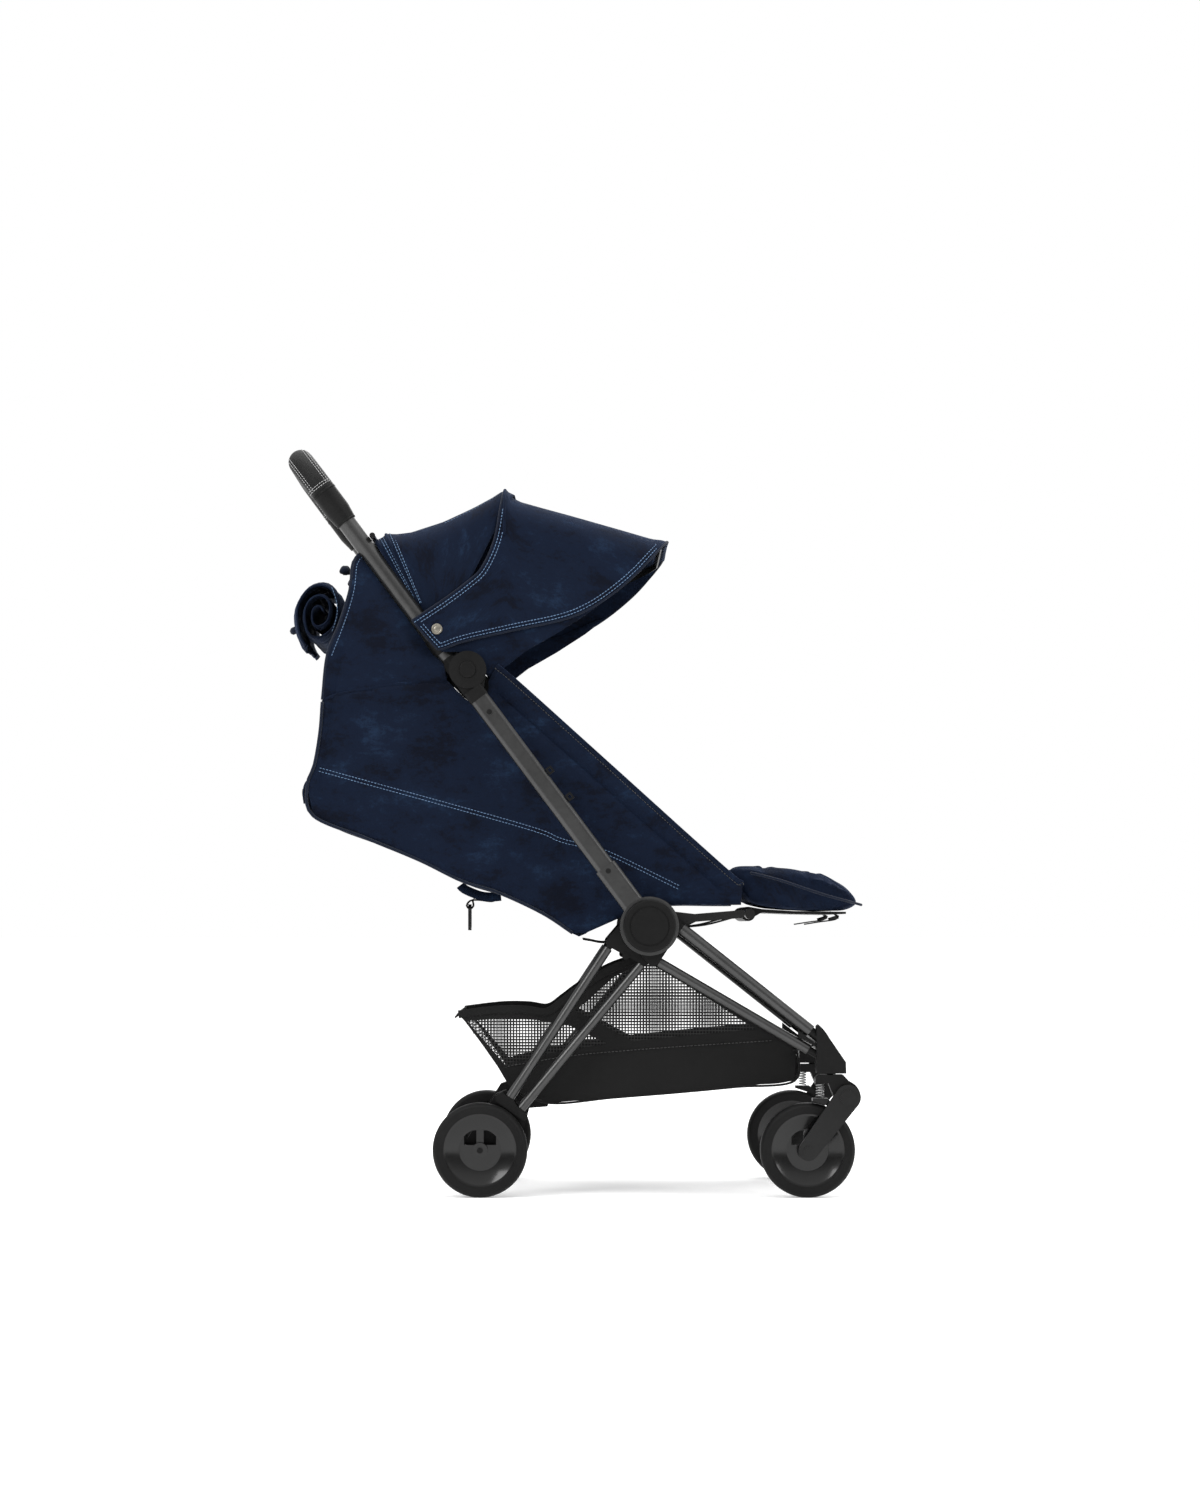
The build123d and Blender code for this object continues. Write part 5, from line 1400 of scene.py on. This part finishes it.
def make_basket():
    outline = BASKET_TOP[:-1] + BASKET_FRONT[:-1] + BASKET_BOTTOM[:-1] + BASKET_BACK[:-1]
    pitch, bar = 4.3, 0.17
    for side, hand in SIDES:
        flat, tris = flat_net_points(outline, 7.5,
                                     seams=(NET_REAR + NET_REAR[:1], NET_FRONT + NET_FRONT[:1], PANEL_SEAM))
        points = [(x, hand * (basket_half(x, z) - 1.1 * math.exp(-(near_line(x, z, PANEL_SEAM) / 2.5) ** 2)), z)
                  for x, z in flat]
        faces, kinds = [], []
        for tri in tris:
            cx, cz = sum(flat[i][0] for i in tri) / 3.0, sum(flat[i][1] for i in tri) / 3.0
            if not (is_inside(cx, cz, NET_REAR) or is_inside(cx, cz, NET_FRONT)):
                faces.append(tuple(tri) if hand < 0 else tuple(tri)[::-1])
                kinds.append(0)
        uvs = [(x * MM, z * MM) for x, z in flat]
        cache = {}

        def vertex(u, v):
            key = (round(u, 3), round(v, 3))
            if key not in cache:
                x, z = -170.0 + u * pitch, 120.0 + v * pitch
                cache[key] = len(points)
                points.append((x, hand * (basket_half(x, z) - 0.3), z))
                uvs.append((x * MM, z * MM))
            return cache[key]

        for i in range(100):
            for j in range(52):
                x, z = -170.0 + (i + 0.5) * pitch, 120.0 + (j + 0.5) * pitch
                near = is_inside(x, z, NET_REAR) or is_inside(x, z, NET_FRONT)
                if not near and min(near_line(x, z, NET_REAR + NET_REAR[:1]),
                                    near_line(x, z, NET_FRONT + NET_FRONT[:1])) > 2.6:
                    continue
                if not is_inside(x, z, outline):
                    continue
                outer = [vertex(i, j), vertex(i + 1, j), vertex(i + 1, j + 1), vertex(i, j + 1)]
                inner = [vertex(i + bar, j + bar), vertex(i + 1 - bar, j + bar),
                         vertex(i + 1 - bar, j + 1 - bar),
                         vertex(i + bar, j + 1 - bar)]
                for k in range(4):
                    m = (k + 1) % 4
                    loop = (outer[k], outer[m], inner[m], inner[k])
                    faces.append(loop if hand < 0 else loop[::-1])
                    kinds.append(1)
        wall = piece(f"basket_side_{side}", points, faces, "panel", "front_legs", uvs=uvs)
        wall.data.materials.append(LOOKS["net"])
        for face, kind in zip(wall.data.polygons, kinds):
            face.material_index = kind
        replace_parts(wall, "basket")
        top = [(x, hand * (basket_half(x, z) + 0.2), z) for x, z in smooth_side(BASKET_TOP, 6.0)]
        sweep(f"basket_top_binding_{side}", top, strap_section(11.0, 2.2), "webbing", "front_legs",
              up=(0, hand, 0))
        front = [(x, hand * (basket_half(x, z) + 0.2), z) for x, z in smooth_side(BASKET_FRONT, 6.0)]
        sweep(f"basket_front_binding_{side}", front, strap_section(9.0, 2.0), "webbing", "front_legs",
              up=(0, hand, 0))
        low = [(x, hand * (basket_half(x, z) - 0.2), z) for x, z in smooth_side(BASKET_BOTTOM, 8.0)]
        sweep(f"basket_low_binding_{side}", low, ring_section(1.6, 6), "webbing", "front_legs")
        seam = [(x, hand * (basket_half(x, z) + 0.4), z) for x, z in smooth_side(PANEL_SEAM, 6.0)]
        stitches(f"basket_thread_{side}", [(seam, (0, hand, 0))], "black_thread", "front_legs", pitch=5.2)
        # loops that hang the basket on the legs
        hang = [(96.0, hand * 147.0, 326.0), (98.0, hand * 158.0, 334.0), (99.0, hand * 165.0, 342.0)]
        sweep(f"basket_hanger_{side}", curve_through(hang, 4.0), strap_section(16.0, 2.0), "webbing",
              "front_legs",
              up=(1, 0, 0))
        tie = [(300.0, hand * 146.0, 200.0), (316.0, hand * 150.0, 203.0), (328.0, hand * 152.0, 208.0)]
        sweep(f"basket_front_tie_{side}", curve_through(tie, 4.0), strap_section(18.0, 2.0), "webbing",
              "front_legs",
              up=(0, 0, 1))

    path = smooth_side([(301.5, 200.0)] + BASKET_BOTTOM[1:], 9.0)
    rows = []
    for i, (x, z) in enumerate(path):
        row = []
        for j in range(31):
            across = -1.0 + j / 15.0
            belly = 1.0 - across ** 4
            y = across * (basket_half(x, z) - 0.8)
            row.append((x, y, z - 3.2 * belly + 1.0 * belly * ripple(x, y, 0.0, 45.0, 6.0) + 3.0))
        rows.append(row)
    floor = sheet_grid("basket_floor", rows, "panel", "front_legs")
    thicken(floor, 1.2)
    back_rows = []
    for x, z in smooth_side(BASKET_BACK, 8.0):
        half = basket_half(x, z) - 0.8
        row = []
        for j in range(41):
            across = -1.0 + j / 20.0
            wave = 2.2 * math.sin(across * 19.0 + z / 14.0) * (1.0 - across ** 2)
            row.append((x - 3.0 * (1.0 - across ** 2) * ease((z - 150.0) / 60.0) + wave * 0.5, across * half,
                        z))
        back_rows.append(row)
    net_from("basket_back_net", back_rows, 4.0, "front_legs")
    hem = [(-165.0 - 4.0 * (1.0 - (y / 146.0) ** 2), y,
            250.0 - 3.0 * (1.0 - (y / 146.0) ** 2)) for y in range(-144, 145, 12)]
    sweep("basket_back_hem", hem, strap_section(11.0, 2.2), "webbing", "front_legs", up=(-0.8, 0, 0.6))


# ---------------------------------------------------------------- straps, coils, thread and cables
def make_fittings():
    strap = [(-112.0, 0.0, 411.0), (-122.0, 0.0, 407.0), (-140.0, 0.0, 409.0), (-152.0, 0.0, 408.0),
             (-157.0, 0.0, 401.0),
             (-152.5, 0.0, 396.5), (-147.5, 0.0, 401.0), (-148.0, 0.0, 410.0), (-138.0, 0.0, 415.0),
             (-122.0, 0.0, 418.0)]
    sweep("pull_strap_web", curve_through(strap, 3.0), strap_section(24.0, 2.0), "webbing", "main_frame",
          up=lambda p: Vector((-(p.x + 152.5) * 0.02, 0.0, 1.0)) if p.x > -146 else Vector((p.x + 152.5, 0.0,
                                                                                            p.z - 401.5)))
    block = [(-108.5, 0.0, 414.0), (-124.0, 0.0, 413.0), (-140.0, 0.0, 415.5), (-160.0, 0.0, 424.0),
             (-166.0, 0.0, 430.0)]
    cuff = sweep("pull_strap_cuff", curve_through(block, 4.0), strap_section(34.0, 12.0), "denim",
                 "main_frame", up=(0, 0, 1))
    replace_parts(cuff, "pull_strap")

    for side, hand in SIDES:
        coil = []
        turns, low, high = 5.0, 137.6, 156.0
        for k in range(int(turns * 20) + 1):
            a = 2.0 * math.pi * k / 20.0
            coil.append((333.0 + 5.1 * math.cos(a), hand * 194.0 + 5.1 * math.sin(a),
                         lerp(low, high, k / (turns * 20))))
        spring = sweep(f"spring_coil_{side}", coil, ring_section(0.9, 8), "steel", f"caster_{side}")
        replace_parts(spring, f"arm_spring_{side}")

    # the grip's seams: two rows along each side of the tube and one round its lower end
    top_x = cad_low.x * 1000.0 + GRIP_RADIUS
    top_run = (HUB.x - top_x) / -math.cos(FRAME_ANGLE)
    heading = Vector((math.cos(FRAME_ANGLE), 0.0, math.sin(FRAME_ANGLE)))
    grip_foot, bend = 757.0, 48.0
    low_point = Vector((along(grip_foot)[0], -HANDLE_Y, along(grip_foot)[1]))
    corner = Vector((along(top_run)[0], -HANDLE_Y, along(top_run)[1]))
    spine = [low_point.lerp(corner - heading * bend, k / 8.0) for k in range(8)]
    for k in range(13):
        a = math.pi / 2.0 * k / 12.0
        middle = corner - heading * bend + Vector((0.0, bend, 0.0))
        spine.append(middle + Vector((0.0, -bend * math.cos(a), 0.0)) + heading * (bend * math.sin(a)))
    left = [Vector((p.x, -p.y, p.z)) for p in spine][::-1]
    gap_points = [spine[-1].lerp(left[0], k / 16.0) for k in range(1, 16)]
    spine = spine + gap_points + left
    front_dir = Vector((math.sin(FRAME_ANGLE), 0.0, -math.cos(FRAME_ANGLE)))
    rows = []
    for turn in (38.0, 52.0, 128.0, 142.0, 218.0, 232.0, 308.0, 322.0):
        a = math.radians(turn)
        line = []
        for i, p in enumerate(spine):
            before, after = spine[max(0, i - 1)], spine[min(len(spine) - 1, i + 1)]
            ahead = (after - before).normalized()
            outward = front_dir.cross(ahead).normalized()
            line.append(p + (outward * math.sin(a) + front_dir * math.cos(a)) * (GRIP_RADIUS + 0.3))
        centre_line = spine

        def away(p, centre_line=centre_line):
            nearest = min(centre_line, key=lambda q: (q - p).length_squared)
            return (p - nearest)

        rows.append((line, away))
    for hand in (-1, 1):
        for run in (grip_foot, grip_foot + 3.5):
            x, z = along(run)
            middle = Vector((x, hand * HANDLE_Y, z))
            ring = []
            for k in range(41):
                a = 2.0 * math.pi * k / 40.0
                ring.append(middle + (front_dir * math.cos(a) + Vector((0, 1, 0)) * math.sin(a)) * (GRIP_RADIUS + 0.3))
            rows.append((ring, lambda p, middle=middle: p - middle))
    stitches("grip_thread", rows, "grey_thread", "handle", pitch=4.2, length=3.0, radius=0.42)
    for side, hand in SIDES:
        for k, (low, high) in enumerate(((747.5, 750.5), (698.0, 699.6))):
            path = [Vector((along(run)[0], hand * HANDLE_Y, along(run)[1])) for run in (low, high)]
            sweep(f"collar_ring_{side}_{k}", path, ring_section((GRIP_RADIUS if k == 0 else 14.6) + 0.5, 32),
                  "plastic", "handle")

    # brake and fold cables, clipped close to the frame at both ends
    for side, hand in SIDES:
        rear = [(8.0, hand * 150.0, 354.0), (20.0, hand * 151.0, 352.0), (34.0, hand * 152.0, 349.5),
                (50.0, hand * 153.0, 350.0)]
        sweep(f"fold_cable_{side}", curve_through(rear, 3.0), ring_section(1.3), "plastic", "main_frame")
        front = [(152.0, hand * 158.0, 371.0), (180.0, hand * 158.0, 374.5), (212.0, hand * 157.0, 383.0),
                 (239.0, hand * 156.0, 391.0)]
        sweep(f"legrest_cable_{side}", curve_through(front, 4.0), ring_section(1.3), "plastic", "seat_base")


# ---------------------------------------------------------------- CAD nodes' looks
def dress_frame():
    dress(["front_tubes_right", "front_tubes_left", "rear_tubes_right", "rear_tubes_left", "frame_tubes",
           "handle_bar"], "graphite")
    dress(["hub_axle", "front_cross_tube", "rear_cross_tube", "seat_rails", "seat_cross_tube", "rear_bow",
           "frame_screws", "d_ring", "swing_arm_right", "swing_arm_left"], "black_metal")
    dress(["frame_sleeves"], "graphite")
    dress(["front_hinge_plates", "caster_carriers", "hub_covers", "knob_sockets", "strap_hooks",
           "rear_hinge_plates",
           "rear_wheel_housings", "brake_pedal", "grip_collars", "knob_uppers", "canopy_clips",
           "fold_button_right",
           "fold_button_left", "harness_buckle", "legrest_board", "back_board", "mid_bow", "front_bow",
           "caster_fork_right",
           "caster_fork_left"], "plastic")
    dress(["rear_rim_right", "rear_rim_left", "front_rim_right", "front_rim_left"], "gloss")
    dress(["rear_tyre_right", "rear_tyre_left", "front_tyre_right", "front_tyre_left"], "tyre")
    dress(["grip"], "leather")


def make_floor():
    mesh = bpy.data.meshes.new("studio_floor")
    size = 300.0
    mesh.from_pydata([(-size, -size, 0), (size, -size, 0), (size, size, 0), (-size, size, 0)], [],
                     [(0, 1, 2, 3)])
    mesh.materials.append(floor_look())
    floor = bpy.data.objects.new("studio_floor", mesh)
    bpy.context.collection.objects.link(floor)


make_stage()
make_floor()
dress_frame()
make_seat_pad()
make_back_pad()
make_legrest()
make_seat()
make_curtain()
make_canopy_rear()
make_canopy_front()
make_roll()
make_harness()
make_basket()
make_fittings()
